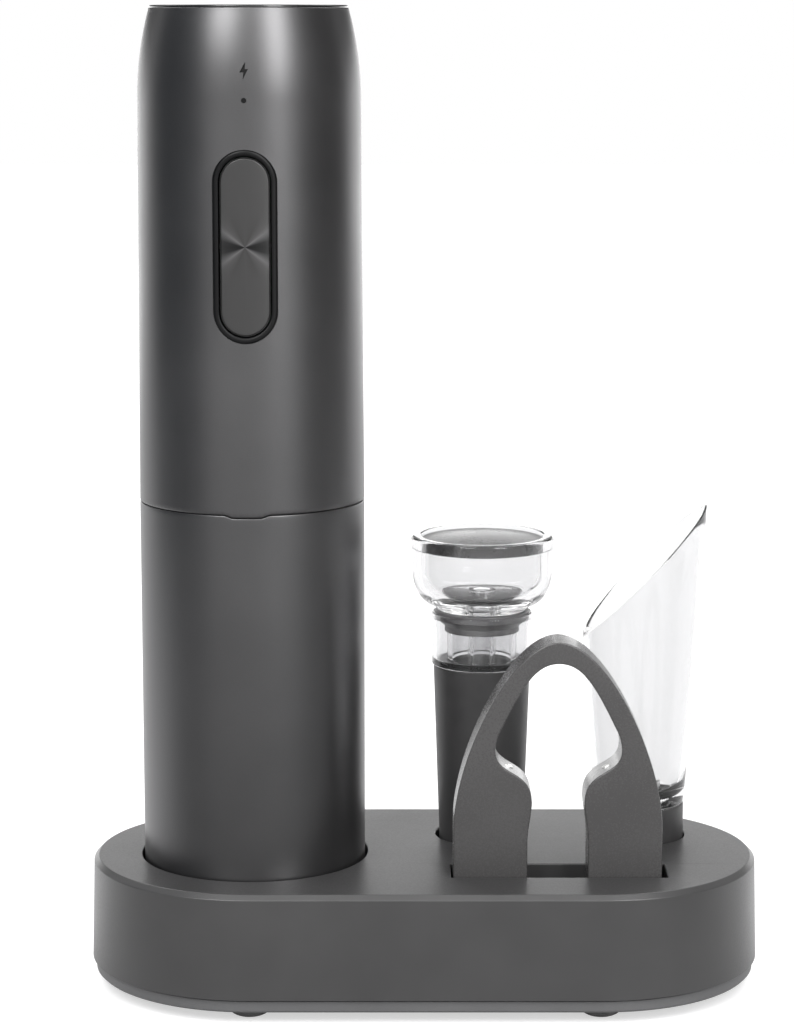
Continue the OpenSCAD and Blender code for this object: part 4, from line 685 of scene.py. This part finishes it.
housing = Skin()
outer = housing.ring([bent(p.x / BODY_R, p.y) for p in laid])
inner = housing.ring([bent(p.x / BODY_R, p.y, HOUSING_WALL) for p in laid])
sunk = {}
for name, (shape, ease, back) in cuts.items():
    depth = MARK_DEPTH if name == "bolt" else ease
    lip = housing.ring([housing_point(x, z, depth, back) for x, z in shape(0)])
    if name == "bolt":
        sunk = dict(zip(edges[name], lip))
        housing.band([outer[n] for n in edges[name]], lip)
        continue
    for n, (x, z) in zip(edges[name], shape(0)):
        housing.points[inner[n]] = housing_point(x, z, wall_y(x, z) - wall_y(x, z, HOUSING_WALL), back)
    housing.band([outer[n] for n in edges[name]], lip)
    housing.band(lip, [inner[n] for n in edges[name]])
for corners in sheets:
    middle = sum((laid[n] for n in corners), Vector((0, 0))) / len(corners)
    spot = (middle.x / BODY_R, middle.y)
    hole = next((name for name, loop in loops.items() if inside_loop(loop, *spot)), None)
    if hole in (None, "bolt"):
        housing.face([inner[n] for n in corners])
        housing.ink = 1 if hole else 0
        housing.face([sunk[n] if hole else outer[n] for n in corners])
        housing.ink = 0
for name, z, turn in (("low", low_z, [(0.06, 0.22), (0.13, 0.13), (0.28, 0.05)]),
                      ("high", high_z, [(0.03, TOP_Z - SEAM_Z - 0.12), (0.1, TOP_Z - SEAM_Z - 0.03),
                                        (0.22, TOP_Z - SEAM_Z)])):
    turn.append((HOUSING_WALL - 0.05, turn[-1][1]))
    rings = [[outer[n] for n in edges[name]]]
    rings += [housing.ring([bent(a, SEAM_Z + lift, inset, z) for a in around]) for inset, lift in turn]
    rings.append([inner[n] for n in edges[name]])
    for a, b in zip(rings, rings[1:]):
        for i in range(SIDES):
            housing.face([a[i], a[i + 1], b[i + 1], b[i]])
mark_ink = grained_plastic("mark_ink", (0.003, 0.003, 0.003), 0.5, Specular_IOR_Level=0.2)
stand_in(housing.piece("housing_tube", body_satin, mark_ink, sharp=40), "drive_unit", "body_satin", "upper_housing")

# -------------------- top cap, button ring and lamp
# The cap is a flat disc of black ABS pressed into the housing's open end. The ring round the button is gloss black
# and stands a hair proud with a rounded lip. The lamp shows through a tiny smoked light pipe.


def turned(line, at, sides=128):
    """The skin of a closed line (radius, height) turned about an upright axis."""
    skin = Skin()
    rings = [skin.ring(circle(at, r, z, sides)) if r > 1e-6 else skin.ring([(*at[:2], z)]) * sides for r, z in line]
    for low, high in zip(rings, rings[1:] + rings[:1]):
        skin.band(low, high)
    return skin


CAP_LOW, CAP_HIGH = solid_box("top_cap")
CAP_NECK_R, CAP_EDGE_R, CAP_SEAT_Z = TOP_R - HOUSING_WALL - 0.05, TOP_R - 0.12, TOP_Z + 0.01
CAP_FACE_Z = CAP_HIGH.z - 0.15
black_trim = grained_plastic("black_trim", (0.009, 0.009, 0.0095), 0.3, 0.5, 0.004, Coat_Weight=0.3)
cap = turned(rounded([(0, CAP_LOW.z, 0), (TOP_R - 4.8, CAP_LOW.z, 0), (CAP_NECK_R, CAP_LOW.z, 0.3),
                      (CAP_NECK_R, CAP_SEAT_Z, 0), (CAP_EDGE_R, CAP_SEAT_Z, 0), (CAP_EDGE_R, CAP_HIGH.z, 0.3),
                      (TOP_R - 1.6, CAP_HIGH.z, 0.1), (TOP_R - 2.0, CAP_FACE_Z, 0.1), (0, CAP_FACE_Z, 0)]),
             (OPENER_X, 0), 240)
stand_in(cap.piece("cap_disc", black_trim), "drive_unit", "black_trim", "top_cap")

# The ring's section as (offset inwards, height over the housing), with its back flat on the button's frame
BEZEL_T = 1.25
section = [(0.0, None), (0.0, -0.12), (0.08, 0.0), (0.3, 0.09), (0.62, 0.12), (0.94, 0.08), (1.14, -0.02),
           (BEZEL_T, -0.22), (BEZEL_T, -1.2), (BEZEL_T, None)]
ring = Skin()
ring.bands([[(OPENER_X + x, BEZEL_HIGH.y if lift is None else housing_point(x, z, -lift)[1], z)
             for x, z in round_bar(BEZEL_W - 2 * offset, BEZEL_L - 2 * offset, BUTTON_Z, 32)]
            for offset, lift in section], closed=True)
ring_black = grained_plastic("ring_black", (0.0025, 0.0025, 0.0028), 0.4, 0.5, 0.002, Specular_IOR_Level=0.2)
stand_in(ring.piece("button_ring", ring_black, sharp=50), "drive_unit", "black_trim", "button_bezel")
dressed(ring_black, "lamp_window")

# -------------------- button
# A rocker of dark plastic with a thin aluminium plate let into its face. The plate is brushed in circles round its
# middle and anodised the same dark grey as the body. The narrow light and dark wedges of its sheen are painted
# into its colour by angle round the middle: painted highlights and painted shade.

TRIM_LOW, TRIM_HIGH = solid_box("button_trim")
TRIM_W, TRIM_L = TRIM_HIGH.x - TRIM_LOW.x, TRIM_HIGH.z - TRIM_LOW.z
RECESS, TRIM_T = 0.55, 0.5
dressed(dark_plastic, "button")

brushed_painted_sheen = Finish("brushed_plate", Metallic=0.75)
middle = (OPENER_X * MM, 0, BUTTON_Z * MM)
x, _, z = brushed_painted_sheen.axes(brushed_painted_sheen.add("ShaderNodeVectorMath", (brushed_painted_sheen.spot, middle), operation="SUBTRACT"))
steep = z.math("ABSOLUTE").math("ARCTAN2", x.math("ABSOLUTE")) * (2 / pi)
far = (x * x + z * z).math("SQRT")
outwards = brushed_painted_sheen.add("ShaderNodeCombineXYZ", (far * 1000, 0.0, 0.0))
circles = brushed_painted_sheen.add("ShaderNodeTexNoise", {"Vector": outwards, "Scale": 9.0, "Detail": 3.0})
OUTER_GREY = (0.0585, 0.058, 0.058, 1)
# Painted highlights and shade: light and dark wedges by angle round the plate's middle, set into its base colour
painted_wedge_sheen = brushed_painted_sheen.add("ShaderNodeValToRGB", (steep + (circles - 0.5) * 0.02,), stops=(
    (0.0, (0.01, 0.01, 0.0105, 1)), (0.17, (0.014, 0.014, 0.0145, 1)), (0.27, (0.056, 0.0555, 0.057, 1)),
    (0.4, (0.128, 0.126, 0.128, 1)), (0.5, (0.079, 0.0775, 0.078, 1)), (0.72, (0.051, 0.05, 0.05, 1)),
    (1.0, OUTER_GREY)))
plain = brushed_painted_sheen.level(far, 0.0, 1.0, 0.0002, 0.0075)
brushed_painted_sheen.set(Base_Color=brushed_painted_sheen.mix(plain * plain * 0.75, painted_wedge_sheen, OUTER_GREY),
            Roughness=brushed_painted_sheen.level(circles, 0.3, 0.46, 0.3, 0.7), Normal=brushed_painted_sheen.bump(circles, 0.2, 0.006))

# The plate's rings as (offset inwards, depth): its rounded edge, six steps to the middle, and the same for its back
FLAT_FROM, STEPS, THIN = 0.28, 6, 0.02
front_rings = [(0.0, 0.28), (0.03, 0.12), (0.12, 0.03), (FLAT_FROM, 0.0)]
front_rings += [(FLAT_FROM + (TRIM_W / 2 - 0.3) * i / STEPS, 0.0) for i in range(1, STEPS + 1)]
back_rings = [(offset, TRIM_T) for offset, _ in reversed(front_rings[3:])]
plate = Skin()
rings = plate.bands([[housing_point(x, z, RECESS + sink) for x, z in
                      round_bar(max(TRIM_W - 2 * offset, THIN), max(TRIM_L - 2 * offset, THIN), BUTTON_Z)]
                     for offset, sink in [*back_rings, (0.0, TRIM_T), *front_rings]])
plate.face(rings[0])
plate.face(rings[-1])
stand_in(plate.piece("button_plate", brushed_painted_sheen.material), "rocker", "button_metal", "button_trim")

# -------------------- vacuum stopper
# A soft plug of dark rubber moulded round the pump's clear cylinder. The gland that guides the rod is pressed into
# the cylinder's wide mouth, and the knob is a clear blown-looking bowl with a domed grey disc let into its top.

BARREL_LOW, BARREL_HIGH = solid_box("stopper_barrel")
GLAND_LOW, GLAND_HIGH = solid_box("stopper_gland")
KNOB_LOW, KNOB_HIGH = solid_box("pump_knob")
DISC_LOW, DISC_HIGH = solid_box("knob_disc")
ROD_LOW, ROD_HIGH = solid_box("pump_rod")
PLUG_TOP, CYLINDER_Z, KNOB_Z, KNOB_TOP = PLUG_HIGH.z, BARREL_LOW.z, KNOB_LOW.z, KNOB_HIGH.z
LIP_Z, TUBE_TOP = BARREL_HIGH.z, GLAND_LOW.z + 1
PLUG_R, BARREL_R, KNOB_R, ROD_R = 11.1, 11.5, 16.4, 3.2
PUMP_R, CYLINDER_R, SHELL_R, LIP_R, VALVE_R = 6.9, 8.0, 10.4, 10.9, 1.25
PLUG_NOSE_R = 9.65 - (PLUG_R - 9.65) / 40.4 * 13
BORE_R, FITTED = ROD_R + 0.05, 0.05

plug_rubber = rubber("plug_rubber", (0.03, 0.0294, 0.03), 0.48, 1.15)
plug = turned(rounded([(3.2, PLUG_LOW.z, 0), (PLUG_NOSE_R, PLUG_LOW.z, 1.7), (PLUG_R, PLUG_TOP, 0.35),
                       (CYLINDER_R, PLUG_TOP, 0), (CYLINDER_R, CYLINDER_Z, 0), (3.2, CYLINDER_Z, 0)]), STOPPER)
stand_in(plug.piece("plug_rubber_body", plug_rubber), "stopper", "dark_plastic", "stopper_plug")


def clear_plastic(name, tint):
    """Injection-moulded plastic, clear with a slight haze and barely visible flow waves in its skin."""
    finish = Finish(name, Base_Color=(*tint, 1), Transmission_Weight=0.98, IOR=1.36)
    waves = finish.noise(9, 2)
    return finish.set(Roughness=finish.level(waves, 0.03, 0.05), Normal=finish.bump(waves, 0.1, 0.03))


clear = clear_plastic("clear_plastic", (0.855, 0.855, 0.86))
barrel = turned(rounded([
    (VALVE_R, CYLINDER_Z, 0), (CYLINDER_R - 0.01, CYLINDER_Z, 0.3), (CYLINDER_R - 0.01, PLUG_TOP, 0.1),
    (BARREL_R, PLUG_TOP, 0.4), (BARREL_R, LIP_Z, 0.2), (LIP_R, LIP_Z, 0.2), (LIP_R, LIP_Z - 1.4, 0.1),
    (SHELL_R, LIP_Z - 1.4, 0.1), (SHELL_R, PLUG_TOP + 1.2, 0.5), (CYLINDER_R, PLUG_TOP + 1.2, 0.5),
    (CYLINDER_R, TUBE_TOP, 0.1), (PUMP_R, TUBE_TOP, 0.3), (PUMP_R, CYLINDER_Z + 1.5, 0.3),
    (VALVE_R, CYLINDER_Z + 1.5, 0)]), STOPPER)
stand_in(barrel.piece("clear_barrel", clear), "stopper", "clear_plastic", "stopper_barrel")

# The gland leaves a hair of air to every clear piece
SKIRT_R, GLAND_TOP = CYLINDER_R + 0.55, GLAND_HIGH.z - 0.08
gland = turned(rounded([
    (BORE_R, TUBE_TOP, 0), (CYLINDER_R + FITTED, TUBE_TOP, 0), (CYLINDER_R + FITTED, TUBE_TOP - 1, 0),
    (SKIRT_R, TUBE_TOP - 1, 0.2), (SKIRT_R, TUBE_TOP + 0.4, 0.3), (SHELL_R - FITTED, LIP_Z - 1.4, 0.1),
    (LIP_R - FITTED, LIP_Z - 1.4, 0.2), (LIP_R - FITTED, GLAND_TOP, 0.35), (BORE_R, GLAND_TOP, 0)]), STOPPER)
gland_rubber = rubber("gland_rubber", (0.09, 0.088, 0.09), 0.38, 1.15)
stand_in(gland.piece("gland_ring", gland_rubber), "stopper", "black_rubber", "stopper_gland")
dressed(plug_rubber, "stopper_valve")


def quarter(r0, z0, r1, z1, steps):
    """A bulging quarter arc that leaves (r0, z0) level and reaches (r1, z1) upright."""
    return [(r0 + (r1 - r0) * sin(a), z0 + (z1 - z0) * (1 - cos(a)))
            for a in (pi / 2 * i / steps for i in range(steps + 1))]


FOOT_R, SEAT_R, FLOOR_Z = 10.2, DISC_HIGH.x - STOPPER.x + FITTED, KNOB_Z + 3.5
ROOM_R, SIDE_Z = SEAT_R - 0.8, KNOB_Z + 9.2
bowl_line = rounded([(BORE_R, KNOB_Z, 0), (FOOT_R, KNOB_Z, 0.3), (FOOT_R, KNOB_Z + 1.2, 0.25),
                     (FOOT_R + 3, KNOB_Z + 1.5, 0)])[:-1]
bowl_line += quarter(FOOT_R + 0.8, KNOB_Z + 1.25, KNOB_R - 0.35, SIDE_Z, 20)[1:]
bowl_line += rounded([(KNOB_R - 0.35, SIDE_Z, 0), (KNOB_R, KNOB_TOP, 0.75), (SEAT_R, KNOB_TOP, 0.5),
                      (SEAT_R, DISC_LOW.z, 0.1), (ROOM_R, DISC_LOW.z, 0.3), (ROOM_R, SIDE_Z, 0)])[1:-1]
bowl_line += reversed(quarter(FOOT_R - 1.7, FLOOR_Z, ROOM_R, SIDE_Z, 18))
bowl_line += [(ROD_R + 1.2, FLOOR_Z), (BORE_R, FLOOR_Z)]
bowl = turned(bowl_line, STOPPER, 160)
stand_in(bowl.piece("clear_bowl", clear), "pump", "clear_plastic", "pump_knob")

disc_grey = Finish("disc_grey", Metallic=0.35)
spun, cloud = disc_grey.noise(0.4, 2), disc_grey.noise(8, 2)
disc_grey.set(Base_Color=disc_grey.mix(cloud, (0.12, 0.12, 0.121, 1), (0.15, 0.149, 0.15, 1)),
              Roughness=disc_grey.level(spun * 0.5 + cloud * 0.5, 0.24, 0.34, 0.3, 0.7),
              Normal=disc_grey.bump(spun, 0.15, 0.01))
DISC_R, DISC_RIM_Z = SEAT_R - FITTED, DISC_LOW.z + 2.2
dome = [(DISC_R * (1 - i / 12), DISC_RIM_Z + (DISC_HIGH.z - DISC_RIM_Z) * sin(pi / 2 * i / 12)) for i in range(13)]
disc = turned([(0, DISC_LOW.z), (DISC_R - 0.2, DISC_LOW.z), (DISC_R, DISC_LOW.z + 0.2), (DISC_R, DISC_RIM_Z - 0.2),
               (DISC_R - 0.08, DISC_RIM_Z - 0.02), *dome[1:]], STOPPER, 160)
stand_in(disc.piece("domed_disc", disc_grey.material), "pump", "disc_grey", "knob_disc")

# A dark band closes the gap between the disc and the bowl's wall
edge_black = rubber("edge_black", (0.01, 0.0095, 0.01), 0.25, 1.2)
EDGE_OUT, EDGE_IN, EDGE_LOW, EDGE_HIGH = DISC_R + 0.03, DISC_R - 0.2, DISC_LOW.z + 0.05, DISC_RIM_Z - 0.1
band = turned([(EDGE_OUT, EDGE_LOW), (EDGE_OUT, EDGE_HIGH), (EDGE_IN, EDGE_HIGH), (EDGE_IN, EDGE_LOW)], STOPPER, 160)
stand_in(band.piece("disc_edge", edge_black), "pump", "disc_grey")

ROD_BORE, ROD_FLOOR = 2.0, ROD_LOW.z + 2
rod = turned(rounded([(0, ROD_LOW.z, 0), (ROD_R, ROD_LOW.z, 0.3), (ROD_R, ROD_HIGH.z, 0.3),
                      (ROD_BORE, ROD_HIGH.z, 0.2), (ROD_BORE, ROD_FLOOR, 0.4), (0, ROD_FLOOR, 0)]), STOPPER, 64)
stand_in(rod.piece("clear_rod", clear), "pump", "clear_plastic", "pump_rod")
dressed(gland_rubber, "pump_piston")

# -------------------- pourer
# A clear spout that widens to a mouth cut off at a slant, pushed into a dark rubber collar with sealing ribs. A thin
# tube beside the pouring channel lets air back into the bottle.

SPOUT_LOW, SPOUT_HIGH = solid_box("pourer_spout")
COLLAR_R, COLLAR_BODY_R, COLLAR_TOP = 10.3, 8.6, COLLAR_HIGH.z
MOUTH_TIP, TIP_Z, LIP_LOW_Z = 14.6, SPOUT_HIGH.z, DECK_Z + 47.6
SPOUT_WALL, CHANNEL_R = 1.3, 5.0
STEEP = (TIP_Z - LIP_LOW_Z) / (2 * MOUTH_TIP - 1.2)
steer = [(COLLAR_R, COLLAR_TOP), (COLLAR_R + 1.6, DECK_Z + 0.35 * (TIP_Z - DECK_Z)),
         (MOUTH_TIP - 0.8, DECK_Z + 0.58 * (TIP_Z - DECK_Z)), (MOUTH_TIP, TIP_Z)]


def curve(points, steps):
    """The curve steered by four points, as steps + 1 places."""
    line = []
    for t in (i / steps for i in range(steps + 1)):
        weights = ((1 - t) ** 3, 3 * t * (1 - t) ** 2, 3 * t * t * (1 - t), t ** 3)
        line.append(tuple(sum(w * p[i] for w, p in zip(weights, points)) for i in (0, 1)))
    return line


spout_table = curve(steer, 60)


def spout_r(z):
    """Outer radius of the spout at a height."""
    for (r0, z0), (r1, z1) in zip(spout_table, spout_table[1:]):
        if z <= z1:
            return r0 + (r1 - r0) * (z - z0) / (z1 - z0)
    return spout_table[-1][0]


def lip_z(angle, inset):
    """Height at which the slanting cut meets the spout in one direction."""
    low, high = COLLAR_TOP, TIP_Z
    for _ in range(30):
        z = (low + high) / 2
        x = (spout_r(z) - inset) * cos(angle)
        low, high = (z, high) if z < TIP_Z - (MOUTH_TIP - x) * STEEP else (low, z)
    return low


def spout_place(angle, z, inset):
    """A place on the spout's outside, or as deep in its wall as the inset."""
    r = spout_r(z) - inset
    return (POURER.x + r * cos(angle), POURER.y + r * sin(angle), min(z, TIP_Z))


def up_to_lip(foot, inset, shares):
    """Rings at shares of the way from a level foot to the slanting lip."""
    tops = [(a, lip_z(a, inset) - LIP_ROUND * 0.5) for a in turns]
    return [[spout_place(a, foot + (top - foot) * share, inset) for a, top in tops] for share in shares]


SPOUT_SIDES, LIP_ROUND = 160, 0.3
turns = [2 * pi * i / SPOUT_SIDES for i in range(SPOUT_SIDES)]
FUNNEL_TOP, FUNNEL_FOOT = COLLAR_TOP + 6, COLLAR_TOP + 1.6
FUNNEL_R = spout_r(FUNNEL_TOP) - SPOUT_WALL
spout_line = [(CHANNEL_R, SPOUT_LOW.z), (CHANNEL_R + 1.3, SPOUT_LOW.z), (CHANNEL_R + 1.3, COLLAR_TOP - 0.3),
              (CHANNEL_R + 1.5, COLLAR_TOP), (COLLAR_R - 0.35, COLLAR_TOP), (COLLAR_R - 0.05, COLLAR_TOP + 0.3)]
rings = [circle(POURER, r, z, SPOUT_SIDES) for r, z in spout_line]
rings += up_to_lip(COLLAR_TOP, 0.0, [row / 28 for row in range(1, 29)])
rings += [[spout_place(a, lip_z(a, SPOUT_WALL * share) + 0.1 * sin(pi * share), SPOUT_WALL * share) for a in turns]
          for share in (0.25, 0.5, 0.75)]
rings += up_to_lip(FUNNEL_TOP, SPOUT_WALL, [row / 22 for row in range(22, -1, -1)])
for t in (i / 8 for i in range(1, 9)):
    z = FUNNEL_TOP + (FUNNEL_FOOT - FUNNEL_TOP) * sin(pi / 2 * t) ** 0.7
    rings.append(circle(POURER, FUNNEL_R * (1 - t) + CHANNEL_R * t, z, SPOUT_SIDES))
spout = Skin()
spout.bands(rings, closed=True)
spout_clear = clear_plastic("spout_plastic", (0.866, 0.866, 0.87))
stand_in(spout.piece("clear_spout", spout_clear, sharp=50), "pourer", "clear_plastic", "pourer_spout")

RIB_R, RIB_PITCH = COLLAR_R - 0.5, 4
collar_line = [(CHANNEL_R, COLLAR_LOW.z, 0), (COLLAR_BODY_R, COLLAR_LOW.z, 0.6)]
rib_z = COLLAR_LOW.z + 2
while rib_z < DECK_Z - 3:
    collar_line += [(COLLAR_BODY_R, rib_z, 0.2), (RIB_R, rib_z + 0.7, 0.25), (RIB_R, rib_z + 1.1, 0.25),
                    (COLLAR_BODY_R, rib_z + 1.8, 0.2)]
    rib_z += RIB_PITCH
collar_line += [(COLLAR_BODY_R, DECK_Z - 1.2, 0.2), (COLLAR_R, DECK_Z - 0.6, 0.4), (COLLAR_R, COLLAR_TOP, 0.4),
                (CHANNEL_R + 1.35, COLLAR_TOP, 0), (CHANNEL_R + 1.35, DECK_Z, 0), (CHANNEL_R, DECK_Z, 0)]
collar = turned(rounded(collar_line, 3), POURER)
stand_in(collar.piece("ribbed_collar", plug_rubber), "pourer", "dark_plastic", "pourer_collar")
dressed(machined_steel("tube_steel", (0.5, 0.5, 0.5), 0.3, (1, 1, 0.05)), "pourer_air_tube")

# -------------------- foil cutter
# A springy arch of dark ABS with rounded edges, pushed over the bottle's neck and turned. Four small steel wheels on
# pins stand a little out of the opening's edge and cut the foil.

CUTTER_W, CUTTER_T, CUTTER_TOP = CUTTER_HIGH.x - CUTTER_LOW.x, CUTTER_HIGH.y - CUTTER_LOW.y, CUTTER_HIGH.z
CROWN_T, LEG_GAP, NIB_GAP, EYE_W = 4.8, 13.4, 11.5, 26.7
LEG_TOP, EYE, NIB, BOW_H, CROWN_BOW = DECK_Z + 10.8, DECK_Z + 31.7, DECK_Z + 16.7, 15.9, 10.3
arm = [(CUTTER_W / 2, LEG_TOP), (CUTTER_W / 2, LEG_TOP + BOW_H), (CROWN_BOW, CUTTER_TOP), (0, CUTTER_TOP)]
eye = [(0, CUTTER_TOP - CROWN_T), (CROWN_BOW - 4.7, CUTTER_TOP - CROWN_T), (EYE_W / 2 - 4.9, EYE + 10.1),
       (EYE_W / 2, EYE)]
rise = [(EYE_W / 2, EYE), (EYE_W / 2 + 3, EYE - 9.9), (NIB_GAP / 2, NIB + 9), (NIB_GAP / 2, NIB)]
nib = [(NIB_GAP / 2, NIB), (NIB_GAP / 2, NIB - 1.9), (LEG_GAP / 2, NIB - 6), (LEG_GAP / 2, NIB - 8.7)]
half = [(CUTTER_W / 2, SLOT_SEAT_Z)] + curve(arm, 24)
other_half = [(-x, z) for x, z in reversed(half[:-1])]
inner_half = curve(eye, 24)[:-1] + curve(rise, 16)[:-1] + curve(nib, 8) + [(LEG_GAP / 2, SLOT_SEAT_Z)]
outline = half + other_half + [(-x, z) for x, z in reversed(inner_half)] + inner_half[1:]
EDGE = 0.35


def moved_in(line, distance):
    """A closed line with every point moved square to it, to its left."""
    moved = []
    for before, p, after in zip(line[-1:] + line[:-1], line, line[1:] + line[:1]):
        a = (Vector(p) - Vector(before)).normalized()
        b = (Vector(after) - Vector(p)).normalized()
        square = Vector((-(a.y + b.y), a.x + b.x)).normalized()
        reach = distance / max(0.5, square.dot(Vector((-a.y, a.x))))
        moved.append((p[0] + square.x * reach, p[1] + square.y * reach))
    return moved


# Rings as (offset inwards, depth): the front edge's rounding, then the same behind
rims = [(EDGE * (1 - sin(a)), -CUTTER_T / 2 + EDGE * (1 - cos(a))) for a in (pi / 2 * i / 5 for i in range(6))]
rims += [(inset, -y) for inset, y in reversed(rims)]
arch = Skin()
rings = arch.bands([[(CUTTER.x + x, CUTTER.y + y, z) for x, z in moved_in(outline, inset)] for inset, y in rims])
arch.flat(rings[0])
arch.flat(rings[-1])
cutter_plastic = grained_plastic("cutter_plastic", (0.05, 0.0488, 0.0488), 0.27, 0.35, 0.003)
stand_in(arch.piece("cutter_arch", cutter_plastic, sharp=40), "foil_cutter", "cutter_plastic", "cutter_body")
bright_steel = machined_steel("bright_steel", (0.66, 0.66, 0.65), 0.18, (1, 1, 1))
dressed(bright_steel, "cutter_pins", "cutter_wheel_a", "cutter_wheel_b", "cutter_wheel_c", "cutter_wheel_d")

# -------------------- worm and hub
# The worm is one steel wire wound into an open helix round its own axis, ground to a point and polished. A
# cross-screwed steel hub clamps its shank and turns with the gearbox's output.

polished_steel = machined_steel("bright_steel", (0.66, 0.66, 0.65), 0.16, (1, 1, 1), 0.4)
dressed(polished_steel, "worm")
dressed(machined_steel("hub_steel", (0.5, 0.5, 0.51), 0.3), "worm_hub")

# -------------------- drive unit's insides
# A black chassis carries the gearbox and motor and plugs into the sleeve with a rubber ring on its spigot. Above it
# a white frame holds the cell, the button's board in front and the charging board behind.

dressed(dark_plastic, "chassis", "motor_end_bell", "tact_switches")
dressed(rubber("ring_rubber", (0.02, 0.02, 0.02), 0.45), "spigot_ring")
dressed(screw_steel, "housing_screws", "gearbox_screws", "motor_screws")


def sintered(name, color, metallic, roughness):
    """Pressed and sintered powder: open pores and oil-dark patches."""
    finish = Finish(name, Metallic=metallic)
    pores, oil = finish.noise(0.25, 2), finish.noise(3, 2)
    return finish.set(Base_Color=finish.shades(finish.level(pores * 0.6 + oil * 0.4, 0, 1, 0.3, 0.6), color, 0.6, 1.1),
                      Roughness=finish.level(oil, roughness - 0.1, roughness + 0.1),
                      Normal=finish.bump(pores, 0.5, 0.02))


def board(name, mask, copper):
    """Circuit board: solder mask with the copper's paths faintly raised beneath it."""
    finish = Finish(name, Coat_Weight=0.3)
    across, _, up = finish.axes(finish.spot)
    blocks = finish.add("ShaderNodeCombineXYZ", (across * 1000, up * 260, 0.0))
    paths = finish.add("ShaderNodeTexVoronoi", {"Vector": blocks, "Scale": 0.55}, distance="MANHATTAN")
    laid = finish.level(paths, 0, 1, 0.42, 0.5)
    return finish.set(Base_Color=finish.mix(laid, (*mask, 1), (*copper, 1)),
                      Roughness=finish.level(finish.noise(2, 2), 0.28, 0.4), Normal=finish.bump(laid, 0.4, 0.03))


def wound(name, color, pitch):
    """Enamelled copper wire laid in close turns, seen as fine ridges, with painted shade between the turns."""
    finish = Finish(name, Metallic=0.85)
    turn = (finish.axes(finish.spot)[2] * (2000 * pi / pitch)).math("SINE")
    tone = finish.noise(1.5, 2)
    # Painted shade: the colour runs darker between the wire's turns and lighter on their crowns
    return finish.set(Base_Color=finish.shades(finish.level(turn * 0.3 + tone, 0, 1, 0.1, 0.9), color, 0.55, 1.15),
                      Roughness=finish.level(tone, 0.25, 0.4), Normal=finish.bump(turn, 0.6, 0.05))


nylon = grained_plastic("gear_nylon", (0.72, 0.69, 0.6), 0.42, 0.5, 0.01, Subsurface_Weight=0.1,
                        Subsurface_Scale=0.001)
sheet_steel = machined_steel("sheet_steel", (0.52, 0.52, 0.53), 0.34, (1, 1, 1), 0.6)
dressed(nylon, "gearbox_can", "fast_planet_a", "fast_planet_b", "fast_planet_c", "slow_planet_a", "slow_planet_b",
        "slow_planet_c")
dressed(sheet_steel, "motor_plate", "motor_can", "fast_carrier", "output_carrier", "usb_socket")
dressed(sintered("sintered_bronze", (0.5, 0.31, 0.13), 0.9, 0.42), "output_bush")
dressed(machined_steel("brass", (0.72, 0.5, 0.2), 0.25, (1, 1, 1)), "motor_pinion")
dressed(polished_steel, "motor_shaft")
dressed(sintered("ferrite", (0.035, 0.035, 0.036), 0.1, 0.6), "motor_magnets")
dressed(wound("copper_winding", (0.55, 0.24, 0.08), 0.5), "motor_armature")
dressed(grained_plastic("lead_red", (0.45, 0.025, 0.025), 0.4, 0.6, 0.01), "motor_leads")
dressed(board("board_green", (0.012, 0.085, 0.035), (0.03, 0.16, 0.06)), "switch_board", "charge_board")
dressed(grained_plastic("frame_white", (0.68, 0.68, 0.66), 0.45, 0.6, 0.015), "inner_frame")
dressed(grained_plastic("cell_wrap", (0.05, 0.22, 0.16), 0.25, 1.2, 0.02, Coat_Weight=0.4), "battery_cell")
